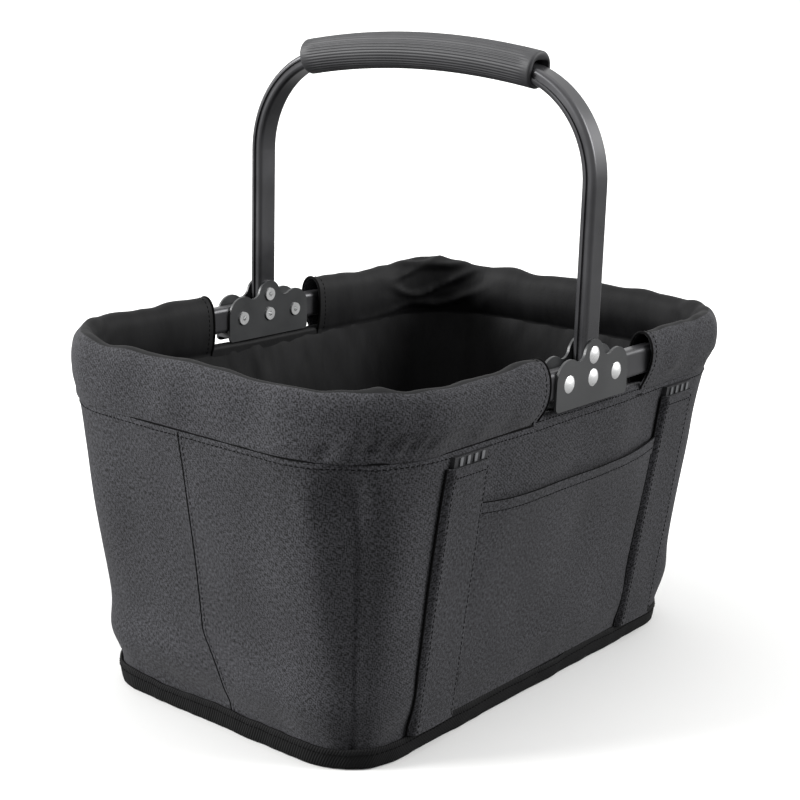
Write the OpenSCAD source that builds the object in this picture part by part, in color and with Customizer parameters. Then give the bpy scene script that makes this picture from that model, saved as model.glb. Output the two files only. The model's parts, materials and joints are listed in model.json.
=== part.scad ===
// Foldable handlebar basket: fabric bag hung on a two-piece folding rim,
// with a fixed carrying bow, and an adapter plate for a handlebar bracket.
// X runs along the length, the pocket faces -Y, Z is up, the ground is z = 0.

/* [Bag] */
// Half length of the bag at its top seam
top_half_x = 190; // [160:1:210]
// Half width of the bag at its top seam
top_half_y = 125; // [115:1:128]
// Corner radius of the bag at its top seam
top_corner = 62; // [40:1:70]
// Half length of the bag at the ground
foot_half_x = 164.5; // [140:0.5:180]
// Half width of the bag at the ground
foot_half_y = 101.5; // [90:0.5:112]
// Corner radius of the bag at the ground
foot_corner = 37; // [25:1:45]
// Height of the top seam above the ground
bag_h = 177.5; // [177.5:0.5:178]
// Thickness of the outer fabric
cloth_t = 1.2; // [0.8:0.1:1.3]
// Height of the webbing sewn round the foot of the bag
binding_h = 13; // [8:1:20]

/* [Front] */
// Half width of the pocket between the two slat channels
pocket_half = 87; // [60:1:88]
// Height of the pocket's mouth above the ground
pocket_top = 141; // [120:1:150]
// How far the pocket stands off the wall at its mouth
pocket_gap = 6.2; // [6:0.1:7]
// Distance of each slat channel from the middle
channel_x = 107; // [106:1:112]
// Half width of a slat channel
channel_half = 18.5; // [17:0.5:19]
// Height of the channels' top edge above the ground
channel_top = 168.4; // [150:0.1:169]

/* [Rim] */
// Height of the pivot line above the ground
pivot_z = 197; // [197:0.5:199]
// Distance of each pivot from the bow
pivot_x = 24.3; // [24:0.1:25]
// Half length of the rim, to the middle of the tube
rim_half_x = 184; // [170:1:190]
// Half width of the rim, to the middle of the tube
rim_half_y = 126; // [125:0.5:127]
// Bend radius of the rim's corners
rim_corner = 62; // [50:1:70]
// Height of the rim tube
tube_h = 17; // [14:0.5:17]
// Width of the rim tube and of the bow
tube_w = 9; // [8.5:0.1:9.2]
// Wall of the rim tube and of the bow
tube_wall = 1.3; // [1:0.1:1.5]
// Distance from the middle to the start of the fabric sleeves
sleeve_from = 50; // [49:1:60]

/* [Bow and grip] */
// Depth of the bow's section along X
bow_d = 15; // [12:0.5:15]
// Height of the bow's straight legs above the pivots
leg_h = 107; // [90:1:120]
// Bend radius of the bow
bow_bend = 61.5; // [50:0.5:70]
// Slope of the bow's top where the bends end, in degrees
arch_slope = 10.5; // [8:0.5:13]
// Outer radius of the grip
grip_r = 10.75; // [10.5:0.05:11.5]
// Half length of the grip
grip_half = 86; // [70:1:88]

/* [Hinge plates] */
// Thickness of a hinge plate
plate_t = 1.5; // [1:0.1:1.6]
// Gap between the two plates of a hinge
plate_gap = 9.4; // [9.3:0.1:9.6]
// Height of the upper handle rivet above the pivot line
rivet_rise = 13; // [12:0.5:14]
// Radius of a rivet's shank
rivet_r = 2.5; // [2:0.1:2.5]

/* [Hidden] */
$fn = 48;

eps = 0.01;
fit = 0.05;
fabric_black = "#2b2c30";
lining_black = "#17171a";
webbing_black = "#1b1b1d";
metal_black = "#26272a";
plastic_black = "#1d1e20";
rubber_grey = "#343537";
rivet_grey = "#c9cacc";

// Section of the bow
bow_groove_w = 2.6;
bow_groove_d = 1;
bow_edge_r = 2.5;
bow_hollow_w = tube_w - 2 * tube_wall;
bow_hollow_d = bow_d - 2 * (bow_groove_d + tube_wall);
bow_foot = 11;
bow_bend_y = rim_half_y - bow_bend;
bow_bend_z = pivot_z + leg_h;
arch_y = bow_bend_y + bow_bend * sin(arch_slope);
arch_r = arch_y / sin(arch_slope);
arch_z = bow_bend_z + bow_bend * cos(arch_slope) - arch_r * cos(arch_slope);
bend_lap = 1;
arch_lap = 0.15;
lap_grow = 0.1;
plug_rise = 34;
plug_play = 0.1;

// The grip follows a flatter curve than the bow's top
grip_curve = 520;
grip_slot_w = 15.6;
grip_slot_h = 13.6;
grip_slot_drop = 0.9;
grip_angle = asin(grip_half / grip_curve);

// Hinge plate outline: a straight foot and three round lobes
plate_low = 14.7;
side_lobe_r = 12.2;
side_lobe_z = 1.8;
top_lobe_r = 9.8;
top_lobe_z = 12.2;
valley_r = 6;
foot_r = 3;
plate_half = pivot_x + side_lobe_r;
inner_face = rim_half_y - plate_gap / 2;
outer_face = rim_half_y + plate_gap / 2;

// Lugs bent from the ends of each inner plate: the rim tubes rest on them when unfolded
lug_low = plate_low - foot_r;
lug_high = tube_h / 2 + 0.2;
lug_end_gap = 0.3;

// Rivets
head_r = 5;
head_h = 1.8;
tail_r = 4.1;
tail_h = 1;
tail_hollow = 1.7;

// The rim tube ends this far from the middle, so that its end swings clear of the hem below it
tube_end = 12.9;
tube_edge_r = 3;
bush_r = 4.5;

// Sleeve section, measured out from and up from the tube's middle
sleeve_in = 8;
sleeve_out = 7.5;
sleeve_top = 16.5;
sleeve_low = pivot_z - bag_h - 0.5;
sleeve_turn = 12;
sleeve_edge_r = 6;
sleeve_skin = 1.6;
skirt_half = 2.5;

// Layers of the bag's wall, measured in from its outer face
seam_gap = 0.1;
pad_outer = 1.5;
pad_inner = 3.9;
lining_outer = 4.2;
lining_inner = 5;
binding_t = 1.5;
panel_t = 1.2;
board_in = 1.5;
board_low = 1.5;
board_high = 4.8;
floor_low = 5;
floor_high = 5.8;
pad_low = 8;
pad_high = 138;
hem_half = 48;
hem_top = pivot_z - plate_low - 0.4;
hem_t = 4.2;

// Pocket and slats
pocket_foot_gap = 0.4;
slat_half = 14.5;
slat_play = 0.3;
slat_t = 3.4;
slat_head = 6;
channel_wall = 1.2;
channel_low = binding_h + 0.5;
head_ribs = 4;
head_rib_w = 2.4;
head_rib_t = 0.8;
head_rib_pitch = 6.2;
head_rib_margin = 0.7;

// Adapter plate and what holds it
adapter_half = 52;
adapter_low = 96;
adapter_high = 166;
adapter_t = 3.6;
adapter_out = outer_face + plate_t + head_h;
rail_in = 25;
rail_out = 39;
lip_in = 18;
lip_t = 3;
stop_h = 8;
bolt_x = 45.5;
bolt_z = [106, 156];
bolt_r = 2.5;
bolt_head_r = 4.75;
bolt_head_h = 2.6;
bolt_socket_h = 1.8;
bolt_socket_r = 1.75;
backing_half = 51;
wall_tilt = atan((top_half_y - foot_half_y) / bag_h);

// Half sizes and corner radius of the bag's outer face at a height
function bag_x(z) = foot_half_x + (top_half_x - foot_half_x) * z / bag_h;
function bag_y(z) = foot_half_y + (top_half_y - foot_half_y) * z / bag_h;
function bag_r(z) = foot_corner + (top_corner - foot_corner) * z / bag_h;

// Centre of the small circle that touches a plate's top lobe and a side lobe
lobe_gap = norm([pivot_x, side_lobe_z - top_lobe_z]);
valley_a = ((top_lobe_r + valley_r) ^ 2 - (side_lobe_r + valley_r) ^ 2 + lobe_gap ^ 2) / (2 * lobe_gap);
valley_h = sqrt((top_lobe_r + valley_r) ^ 2 - valley_a ^ 2);
lobe_dir = [pivot_x, side_lobe_z - top_lobe_z] / lobe_gap;
valley_at = [0, top_lobe_z] + valley_a * lobe_dir + valley_h * [-lobe_dir[1], lobe_dir[0]];

// A rectangle with round corners about the origin
module round_rect(w, h, r) {
    square([w - 2 * r, h], center = true);
    square([w, h - 2 * r], center = true);
    for (x = [-1, 1], y = [-1, 1])
        translate([x * (w / 2 - r), y * (h / 2 - r)])
            circle(r);
}

// A cylinder along Y between two places
module y_rod(r, y0, y1) {
    translate([0, y0, 0])
        rotate([-90, 0, 0])
            cylinder(r = r, h = y1 - y0);
}

// Puts a part made in the YZ plane's (y, z) as (x, y) along X
module in_yz() {
    rotate([90, 0, 90])
        children();
}

// The bow's hollow section (radial, along X) with its two grooves, grown all round by an amount
module bow_section(grow) {
    difference() {
        round_rect(tube_w + 2 * grow, bow_d + 2 * grow, bow_edge_r + grow);
        round_rect(bow_hollow_w - 2 * grow, bow_hollow_d - 2 * grow, bow_edge_r - tube_wall);
        for (side = [-1, 1])
            translate([0, side * (bow_d / 2 + grow)])
                square([bow_groove_w - 2 * grow, 2 * bow_groove_d], center = true);
    }
}

// One leg of the bow and the bend above it, on the +Y side
module bow_side() {
    translate([0, rim_half_y, pivot_z - bow_foot])
        linear_extrude(bow_bend_z - pivot_z + bow_foot)
            rotate([0, 0, 90])
                bow_section(0);
    translate([0, bow_bend_y, bow_bend_z])
        in_yz()
            rotate_extrude(angle = 90 - arch_slope + bend_lap, $fn = 96)
                translate([bow_bend, 0])
                    bow_section(0);
}

// The bow's top, which is a little thicker, so that its ends enclose the ends of the bends
module bow_top() {
    translate([0, 0, arch_z])
        in_yz()
            rotate([0, 0, 90 - arch_slope - arch_lap])
                rotate_extrude(angle = 2 * (arch_slope + arch_lap), $fn = 360)
                    translate([arch_r, 0])
                        bow_section(lap_grow);
}

// Carries a section (outward, up) along the right half of the rim
module rim_sweep(from) {
    corner_x = rim_half_x - rim_corner;
    corner_y = rim_half_y - rim_corner;
    for (side = [0, 1])
        mirror([0, side, 0]) {
            translate([from, rim_half_y, pivot_z])
                in_yz()
                    linear_extrude(corner_x - from)
                        children();
            translate([corner_x, corner_y, pivot_z])
                rotate_extrude(angle = 90, $fn = 96)
                    translate([rim_corner, 0])
                        children();
        }
    translate([rim_half_x, corner_y, pivot_z])
        rotate([90, 0, 0])
            linear_extrude(2 * corner_y)
                children();
}

// The bag's outline drawn in by an inset, as a solid between two heights
module bag_solid(inset, z0, z1) {
    hull()
        for (z = [z0, z1 - eps])
            translate([0, 0, z])
                linear_extrude(eps)
                    round_rect(2 * (bag_x(z) - inset), 2 * (bag_y(z) - inset), bag_r(z) - inset);
}

// A slab on the +Y wall between two insets, which may differ at its foot and head
module wall_slab(half, z0, z1, in0, out0, in1, out1) {
    hull() {
        translate([-half, bag_y(z0) + in0, z0])
            cube([2 * half, out0 - in0, eps]);
        translate([-half, bag_y(z1) + in1, z1 - eps])
            cube([2 * half, out1 - in1, eps]);
    }
}

// A flat sheet of even thickness on a side wall
module side_sheet(half, z0, z1, inner, outer) {
    wall_slab(half, z0, z1, -inner, -outer, -inner, -outer);
}

// A flat sheet of even thickness on the +X end wall
module end_sheet(half, z0, z1, inner, outer) {
    hull()
        for (z = [z0, z1 - eps])
            translate([bag_x(z) - inner, -half, z])
                cube([inner - outer, 2 * half, eps]);
}

// Places a part on the rear wall with Y along the wall's normal
module on_rear_wall(x, z) {
    translate([x, bag_y(z), z])
        rotate([-wall_tilt, 0, 0])
            children();
}

// A flat shape drawn as (x, z), made as thick as a plate towards +Y
module plate_sheet() {
    rotate([90, 0, 0])
        mirror([0, 0, 1])
            linear_extrude(plate_t)
                children();
}

// One hinge plate on the +Y side, its inner face at y
module hinge_plate(y) {
    translate([0, y, pivot_z])
        difference() {
            union() {
                translate([-plate_half, 0, foot_r - plate_low])
                    cube([2 * plate_half, plate_t, side_lobe_z + plate_low - foot_r]);
                translate([foot_r - plate_half, 0, -plate_low])
                    cube([2 * (plate_half - foot_r), plate_t, 2 * foot_r]);
                translate([-pivot_x, 0, 0])
                    cube([2 * pivot_x, plate_t, side_lobe_z + side_lobe_r / 2]);
                for (s = [-1, 1]) {
                    translate([s * (plate_half - foot_r), 0, foot_r - plate_low])
                        y_rod(foot_r, 0, plate_t);
                    translate([s * pivot_x, 0, side_lobe_z])
                        y_rod(side_lobe_r, 0, plate_t);
                }
                translate([0, 0, top_lobe_z])
                    y_rod(top_lobe_r, 0, plate_t);
                plate_sheet()
                    polygon([[-pivot_x, 0], [-valley_at[0], valley_at[1]], [0, top_lobe_z + 1],
                        valley_at, [pivot_x, 0]]);
            }
            for (s = [-1, 1])
                translate([s * valley_at[0], 0, valley_at[1]])
                    y_rod(valley_r + fit, -1, plate_t + 1);
            for (at = [[-pivot_x, 0], [0, 0], [pivot_x, 0], [0, rivet_rise]])
                translate([at[0], 0, at[1]])
                    y_rod(rivet_r + fit, -1, plate_t + 1);
        }
}

// The inner plate on the +Y side, with the stop lug at each of its ends
module inner_plate() {
    hinge_plate(inner_face - plate_t);
    for (x = [-plate_half, plate_half - plate_t])
        translate([x, inner_face - plate_t, pivot_z - lug_low])
            cube([plate_t, plate_t + plate_gap - lug_end_gap, lug_low - lug_high]);
}

// One rivet on the +Y side: domed head outside, rolled tail inside
module rivet() {
    y0 = inner_face - plate_t;
    y1 = outer_face + plate_t;
    dome_r = (head_r ^ 2 + head_h ^ 2) / (2 * head_h);
    difference() {
        union() {
            y_rod(rivet_r, y0 - eps, y1 + eps);
            y_rod(tail_r, y0 - tail_h, y0);
            intersection() {
                y_rod(head_r, y1, y1 + head_h + 1);
                translate([0, y1 + head_h - dome_r, 0])
                    sphere(dome_r);
            }
        }
        y_rod(tail_hollow, y0 - tail_h - 1, y0 + 2);
    }
}

module rim_tube() {
    difference() {
        rim_sweep(tube_end)
            round_rect(tube_w, tube_h, tube_edge_r);
        rim_sweep(tube_end - 1)
            round_rect(tube_w - 2 * tube_wall, tube_h - 2 * tube_wall, tube_edge_r - tube_wall);
        for (side = [0, 1])
            mirror([0, side, 0])
                translate([pivot_x, rim_half_y, pivot_z])
                    y_rod(bush_r, -tube_w, tube_w);
    }
}

module rim_bushes() {
    for (side = [0, 1])
        mirror([0, side, 0])
            translate([pivot_x, rim_half_y, pivot_z])
                difference() {
                    y_rod(bush_r, -tube_w / 2, tube_w / 2);
                    y_rod(rivet_r + fit, -tube_w, tube_w);
                }
}

module sleeve_section() {
    width = sleeve_in + sleeve_out;
    middle = (sleeve_out - sleeve_in) / 2;
    difference() {
        union() {
            translate([middle, (sleeve_top - sleeve_turn) / 2])
                round_rect(width, sleeve_top + sleeve_turn, sleeve_edge_r);
            translate([middle - skirt_half, -sleeve_low])
                square([2 * skirt_half, sleeve_low - sleeve_turn + 2]);
        }
        translate([middle, (sleeve_top - sleeve_turn) / 2])
            round_rect(width - 2 * sleeve_skin, sleeve_top + sleeve_turn - 2 * sleeve_skin,
                sleeve_edge_r - sleeve_skin);
    }
}

module rim_sleeve() {
    rim_sweep(sleeve_from)
        sleeve_section();
}

// A channel with its tunnel open at the top, on the +Y wall at x = 0
module slat_channel() {
    inner = slat_t + 2 * slat_play;
    outer = inner + channel_wall;
    difference() {
        wall_slab(channel_half, channel_low, channel_top, seam_gap, outer, seam_gap, outer);
        wall_slab(slat_half + slat_play, channel_low + channel_wall, channel_top + 1,
            -1, inner, -1, inner);
    }
}

// A slat as it lies in its channel, with ribs across the face of its head
module slat() {
    outer = slat_play + slat_t;
    rib_in = outer - 0.2;
    rib_out = outer + head_rib_t;
    wall_slab(slat_half, channel_low + channel_wall + slat_play, channel_top + slat_head,
        slat_play, outer, slat_play, outer);
    for (i = [0:head_ribs - 1])
        translate([(i - (head_ribs - 1) / 2) * head_rib_pitch, 0, 0])
            wall_slab(head_rib_w / 2, channel_top + head_rib_margin,
                channel_top + slat_head - head_rib_margin, rib_in, rib_out, rib_in, rib_out);
}

module handle_bow() {
    color(metal_black)
        difference() {
            union() {
                bow_side();
                mirror([0, 1, 0])
                    bow_side();
                bow_top();
            }
            for (side = [0, 1], up = [0, rivet_rise])
                mirror([0, side, 0])
                    translate([0, rim_half_y, pivot_z + up])
                        y_rod(rivet_r + fit, -tube_w, tube_w);
        }
}

module handle_plugs() {
    play = 2 * plug_play;
    color(plastic_black)
        for (side = [0, 1])
            mirror([0, side, 0])
                translate([0, rim_half_y, pivot_z])
                    difference() {
                        translate([0, 0, -bow_foot])
                            linear_extrude(plug_rise)
                                round_rect(bow_hollow_d - play, bow_hollow_w - play, bow_edge_r - tube_wall);
                        for (up = [0, rivet_rise])
                            translate([0, 0, up])
                                y_rod(rivet_r + fit, -tube_w, tube_w);
                    }
}

// Carries a section (up, along X) along the grip's own curve
module grip_sweep(half_angle) {
    translate([0, 0, arch_z + arch_r - grip_curve])
        in_yz()
            rotate([0, 0, 90 - half_angle])
                rotate_extrude(angle = 2 * half_angle, $fn = 360)
                    translate([grip_curve, 0])
                        children();
}

module handle_grip() {
    color(rubber_grey)
        difference() {
            grip_sweep(grip_angle)
                circle(grip_r);
            grip_sweep(grip_angle + 1)
                translate([-grip_slot_drop, 0])
                    round_rect(grip_slot_h, grip_slot_w, 2.6);
        }
}

module handle_rivets() {
    color(rivet_grey)
        for (side = [0, 1], up = [0, rivet_rise])
            mirror([0, side, 0])
                translate([0, 0, pivot_z + up])
                    rivet();
}

module pivot_rivets() {
    color(rivet_grey)
        for (side = [0, 1], x = [-pivot_x, pivot_x])
            mirror([0, side, 0])
                translate([x, 0, pivot_z])
                    rivet();
}

module front_outer_plate() {
    color(metal_black)
        mirror([0, 1, 0])
            hinge_plate(outer_face);
}

module front_inner_plate() {
    color(metal_black)
        mirror([0, 1, 0])
            inner_plate();
}

module rear_outer_plate() {
    color(metal_black)
        hinge_plate(outer_face);
}

module rear_inner_plate() {
    color(metal_black)
        inner_plate();
}

module rim_tube_left() {
    color(metal_black)
        mirror([1, 0, 0])
            rim_tube();
}

module rim_tube_right() {
    color(metal_black)
        rim_tube();
}

module rim_bushes_left() {
    color(plastic_black)
        mirror([1, 0, 0])
            rim_bushes();
}

module rim_bushes_right() {
    color(plastic_black)
        rim_bushes();
}

module rim_sleeve_left() {
    color(fabric_black)
        mirror([1, 0, 0])
            rim_sleeve();
}

module rim_sleeve_right() {
    color(fabric_black)
        rim_sleeve();
}

module bag_shell() {
    color(fabric_black)
        difference() {
            bag_solid(0, board_low - 0.2, bag_h);
            bag_solid(cloth_t, board_low - 1, bag_h + 1);
            for (x = [-bolt_x, bolt_x], z = bolt_z)
                on_rear_wall(x, z)
                    y_rod(bolt_r + 0.2, -4, 4);
        }
}

module bag_lining() {
    color(lining_black)
        difference() {
            bag_solid(lining_outer, floor_low, bag_h);
            bag_solid(lining_inner, floor_high, bag_h + 1);
        }
}

module bottom_panel() {
    color(fabric_black)
        linear_extrude(panel_t)
            round_rect(2 * foot_half_x - 0.2, 2 * foot_half_y - 0.2, foot_corner);
}

module base_board() {
    color(plastic_black)
        translate([0, 0, board_low])
            linear_extrude(board_high - board_low)
                round_rect(2 * (foot_half_x - board_in), 2 * (foot_half_y - board_in),
                    foot_corner - board_in);
}

module bottom_binding() {
    color(webbing_black)
        difference() {
            bag_solid(-binding_t, 0.2, binding_h);
            bag_solid(-seam_gap, -1, binding_h + 1);
        }
}

module rear_hem() {
    color(fabric_black)
        side_sheet(hem_half, bag_h + 0.1, hem_top, hem_t, 0);
}

module front_hem() {
    color(fabric_black)
        mirror([0, 1, 0])
            side_sheet(hem_half, bag_h + 0.1, hem_top, hem_t, 0);
}

module front_pad() {
    color("dimgray")
        mirror([0, 1, 0])
            side_sheet(foot_half_x - foot_corner - 3, pad_low, pad_high, pad_inner, pad_outer);
}

module rear_pad() {
    window_low = adapter_low - 2;
    color("dimgray")
        difference() {
            side_sheet(foot_half_x - foot_corner - 3, pad_low, pad_high, pad_inner, pad_outer);
            translate([-backing_half - 1, 0, window_low])
                cube([2 * backing_half + 2, 2 * top_half_y, adapter_high + 2 - window_low]);
        }
}

module left_pad() {
    color("dimgray")
        mirror([1, 0, 0])
            end_sheet(foot_half_y - foot_corner - 4, pad_low, pad_high, pad_inner, pad_outer);
}

module right_pad() {
    color("dimgray")
        end_sheet(foot_half_y - foot_corner - 4, pad_low, pad_high, pad_inner, pad_outer);
}

module front_pocket() {
    color(fabric_black)
        mirror([0, 1, 0])
            difference() {
                wall_slab(pocket_half, channel_low, pocket_top,
                    seam_gap, pocket_foot_gap + cloth_t, seam_gap, pocket_gap + cloth_t);
                wall_slab(pocket_half - cloth_t, channel_low + cloth_t, pocket_top + 1,
                    -1, pocket_foot_gap, -1, pocket_gap);
            }
}

module slat_channel_left() {
    color(fabric_black)
        mirror([0, 1, 0])
            translate([-channel_x, 0, 0])
                slat_channel();
}

module slat_channel_right() {
    color(fabric_black)
        mirror([0, 1, 0])
            translate([channel_x, 0, 0])
                slat_channel();
}

module slat_left() {
    color(plastic_black)
        mirror([0, 1, 0])
            translate([-channel_x, 0, 0])
                slat();
}

module slat_right() {
    color(plastic_black)
        mirror([0, 1, 0])
            translate([channel_x, 0, 0])
                slat();
}

// Plate with a T slot, open below, for the tongue of a handlebar bracket
module rear_adapter() {
    color(plastic_black)
        difference() {
            union() {
                wall_slab(adapter_half, adapter_low, adapter_high, seam_gap, adapter_t, seam_gap, adapter_t);
                difference() {
                    translate([-rail_out, bag_y(adapter_low) + 1, adapter_low])
                        cube([2 * rail_out, adapter_out - bag_y(adapter_low) - 1,
                            adapter_high - adapter_low]);
                    translate([-rail_in, 0, adapter_low - 1])
                        cube([2 * rail_in, adapter_out - lip_t, adapter_high - stop_h - adapter_low + 1]);
                    translate([-lip_in, 0, adapter_low - 1])
                        cube([2 * lip_in, adapter_out + 1, adapter_high - stop_h - adapter_low + 1]);
                    wall_slab(adapter_half + 1, adapter_low - 1, adapter_high + 1, -40, 1, -40, 1);
                }
            }
            for (x = [-bolt_x, bolt_x], z = bolt_z)
                on_rear_wall(x, z)
                    y_rod(bolt_r + 0.2, -4, 12);
        }
}

module rear_backing_plate() {
    color("silver")
        difference() {
            side_sheet(backing_half, adapter_low, adapter_high, pad_inner, pad_outer);
            for (x = [-bolt_x, bolt_x], z = bolt_z)
                on_rear_wall(x, z)
                    y_rod(bolt_r + fit, -8, 4);
        }
}

module rear_bolts() {
    seat = adapter_t * cos(wall_tilt);
    color(rivet_grey)
        for (x = [-bolt_x, bolt_x], z = bolt_z)
            on_rear_wall(x, z)
                difference() {
                    union() {
                        y_rod(bolt_r, -3.7, seat + eps);
                        y_rod(bolt_head_r, seat, seat + bolt_head_h);
                    }
                    translate([0, seat + bolt_head_h - bolt_socket_h, 0])
                        rotate([-90, 0, 0])
                            cylinder(r = bolt_socket_r, h = bolt_head_h, $fn = 6);
                }
}

handle_bow();
handle_grip();
handle_plugs();
handle_rivets();
pivot_rivets();
front_outer_plate();
front_inner_plate();
rear_outer_plate();
rear_inner_plate();
rim_tube_left();
rim_tube_right();
rim_bushes_left();
rim_bushes_right();
rim_sleeve_left();
rim_sleeve_right();
bag_shell();
bag_lining();
bottom_panel();
base_board();
bottom_binding();
front_hem();
rear_hem();
front_pad();
rear_pad();
left_pad();
right_pad();
front_pocket();
slat_channel_left();
slat_channel_right();
slat_left();
slat_right();
rear_adapter();
rear_backing_plate();
rear_bolts();
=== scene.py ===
"""Folding handlebar basket: its cloth, stitches and finishes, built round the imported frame.

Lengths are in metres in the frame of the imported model: X runs along the basket,
the pocket faces -Y, Z is up and the basket stands on z = 0.
"""
import json
import logging
import math
from dataclasses import dataclass, field
from enum import Enum

import bmesh
import bpy
import numpy as np
from bpy.types import Material, Node, NodeSocket, NodeTree, Object
from mathutils import Matrix, Vector


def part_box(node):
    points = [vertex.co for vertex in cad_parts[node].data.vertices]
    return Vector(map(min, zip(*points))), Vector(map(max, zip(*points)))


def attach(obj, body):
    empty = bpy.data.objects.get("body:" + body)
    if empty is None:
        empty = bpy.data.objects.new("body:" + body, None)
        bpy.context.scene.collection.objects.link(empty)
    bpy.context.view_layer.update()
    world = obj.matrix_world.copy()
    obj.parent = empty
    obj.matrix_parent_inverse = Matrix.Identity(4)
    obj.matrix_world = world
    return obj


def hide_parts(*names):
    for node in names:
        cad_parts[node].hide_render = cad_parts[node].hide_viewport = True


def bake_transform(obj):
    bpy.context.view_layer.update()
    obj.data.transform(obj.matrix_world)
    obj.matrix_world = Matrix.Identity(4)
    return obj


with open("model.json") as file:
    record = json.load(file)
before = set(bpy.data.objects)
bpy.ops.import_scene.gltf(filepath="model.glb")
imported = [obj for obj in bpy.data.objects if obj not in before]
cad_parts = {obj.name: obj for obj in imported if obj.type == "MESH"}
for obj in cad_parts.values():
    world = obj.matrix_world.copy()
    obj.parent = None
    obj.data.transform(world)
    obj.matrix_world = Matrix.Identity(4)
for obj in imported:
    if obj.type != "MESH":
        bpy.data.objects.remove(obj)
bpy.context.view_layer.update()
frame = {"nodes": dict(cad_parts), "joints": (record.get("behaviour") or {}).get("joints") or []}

LOG = logging.getLogger("basket")
MM = 0.001
ROOT = "root"
Array = np.ndarray
WAVE_PERIOD = 0.31416  # period of a wave node whose scale is 1
TIP = 0.02  # width of a cord's last ring over the cord's


class Side(Enum):
    """The two halves of the folding rim."""

    LEFT = -1
    RIGHT = 1

    @property
    def body(self) -> str:
        """Name of the body that this half of the rim is."""
        return f"rim_{self.label}"

    @property
    def label(self) -> str:
        """The half's name in piece names."""
        return self.name.lower()


# ---------------------------------------------------------------- finishes


def linear(code: str) -> tuple[float, float, float, float]:
    """Turns an sRGB hex colour into linear light.

    Args:
        code: Six hex digits after a hash sign.

    Returns:
        Red, green, blue and an alpha of 1.
    """
    parts = [int(code[i:i + 2], 16) / 255 for i in (1, 3, 5)]
    light = [c / 12.92 if c <= 0.04045 else ((c + 0.055) / 1.055) ** 2.4 for c in parts]
    return (*light, 1.0)


def add_node(tree: NodeTree, kind: str, settings: dict | None = None,
             links: dict | None = None, into: dict | None = None) -> Node:
    """Adds one node to a material, with its settings and its links.

    Args:
        tree: The node tree.
        kind: The node's type name.
        settings: Values of the node's own properties.
        links: For each input, a socket to link or a value to set.
        into: For each output, the socket that it feeds.

    Returns:
        The new node.
    """
    node = tree.nodes.new(kind)
    for key, value in (settings or {}).items():
        setattr(node, key, value)
    for key, value in (links or {}).items():
        if isinstance(value, NodeSocket):
            tree.links.new(value, node.inputs[key])
        else:
            node.inputs[key].default_value = value
    for key, socket in (into or {}).items():
        tree.links.new(node.outputs[key], socket)
    return node


@dataclass(frozen=True)
class Finish:
    """What every finish shares: its name, the shader's fixed values and its two tones."""

    name: str
    roughness: float = 0.5
    metallic: float = 0.0
    sheen: float = 0.0
    specular: float = 0.5
    dark: str = "#202020"
    pale: str = "#303030"

    def material(self) -> Material:
        """Returns the finish as a new node material."""
        made = bpy.data.materials.new(self.name)
        made.use_nodes = True
        shader = made.node_tree.nodes["Principled BSDF"]
        shader.inputs["Roughness"].default_value = self.roughness
        shader.inputs["Metallic"].default_value = self.metallic
        shader.inputs["Sheen Weight"].default_value = self.sheen
        shader.inputs["Sheen Roughness"].default_value = 0.5
        shader.inputs["Specular IOR Level"].default_value = self.specular
        self.dress(made.node_tree, shader)
        return made

    def dress(self, tree: NodeTree, shader: Node) -> None:
        """Adds the pattern nodes; each finish has its own."""

    def specks(self, tree: NodeTree, source: str, size: tuple[float, float, float],
               detail: float = 2.0) -> NodeSocket:
        """Random specks of a given size.

        Args:
            tree: The node tree.
            source: "UV" for cloth, which carries its own lengths in metres, or "Object".
            size: Length of a speck on each axis, in metres.
            detail: How many finer layers are added.

        Returns:
            A socket between 0 and 1, mostly near 0.5.
        """
        coords = add_node(tree, "ShaderNodeTexCoord")
        scaled = add_node(tree, "ShaderNodeMapping", links={
            "Vector": coords.outputs[source], "Scale": tuple(1 / length for length in size)})
        return add_node(tree, "ShaderNodeTexNoise", links={
            "Vector": scaled.outputs[0], "Scale": 1.0, "Detail": detail}).outputs[0]

    def lines(self, tree: NodeTree, pitch: float, turn: float) -> NodeSocket:
        """Parallel lines on the UV map. The wave's period is a tenth of pi over its scale.

        Args:
            tree: The node tree.
            pitch: Distance from line to line, in metres.
            turn: Turn of the lines on the map, in radians.

        Returns:
            A socket between 0 and 1.
        """
        coords = add_node(tree, "ShaderNodeTexCoord")
        turned = add_node(tree, "ShaderNodeMapping",
                          links={"Vector": coords.outputs["UV"], "Rotation": (0, 0, turn)})
        return add_node(tree, "ShaderNodeTexWave", links={
            "Vector": turned.outputs[0], "Scale": WAVE_PERIOD / pitch, "Distortion": 0.6,
            "Detail": 1.0}).outputs["Fac"]

    def tinted(self, tree: NodeTree, factor: NodeSocket, low: float, high: float, dark: str,
               pale: str) -> NodeSocket:
        """Turns a factor into a colour between two tones.

        Args:
            tree: The node tree.
            factor: Socket that drives it.
            low: Factor at which the dark tone is full.
            high: Factor at which the pale tone is full.
            dark: sRGB hex of the dark tone.
            pale: sRGB hex of the pale tone.

        Returns:
            The colour socket.
        """
        share = add_node(tree, "ShaderNodeMapRange", links={
            "Value": factor, "From Min": low, "From Max": high})
        return add_node(tree, "ShaderNodeMix", {"data_type": "RGBA"}, {
            0: share.outputs[0], 6: linear(dark), 7: linear(pale)}).outputs[2]


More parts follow.
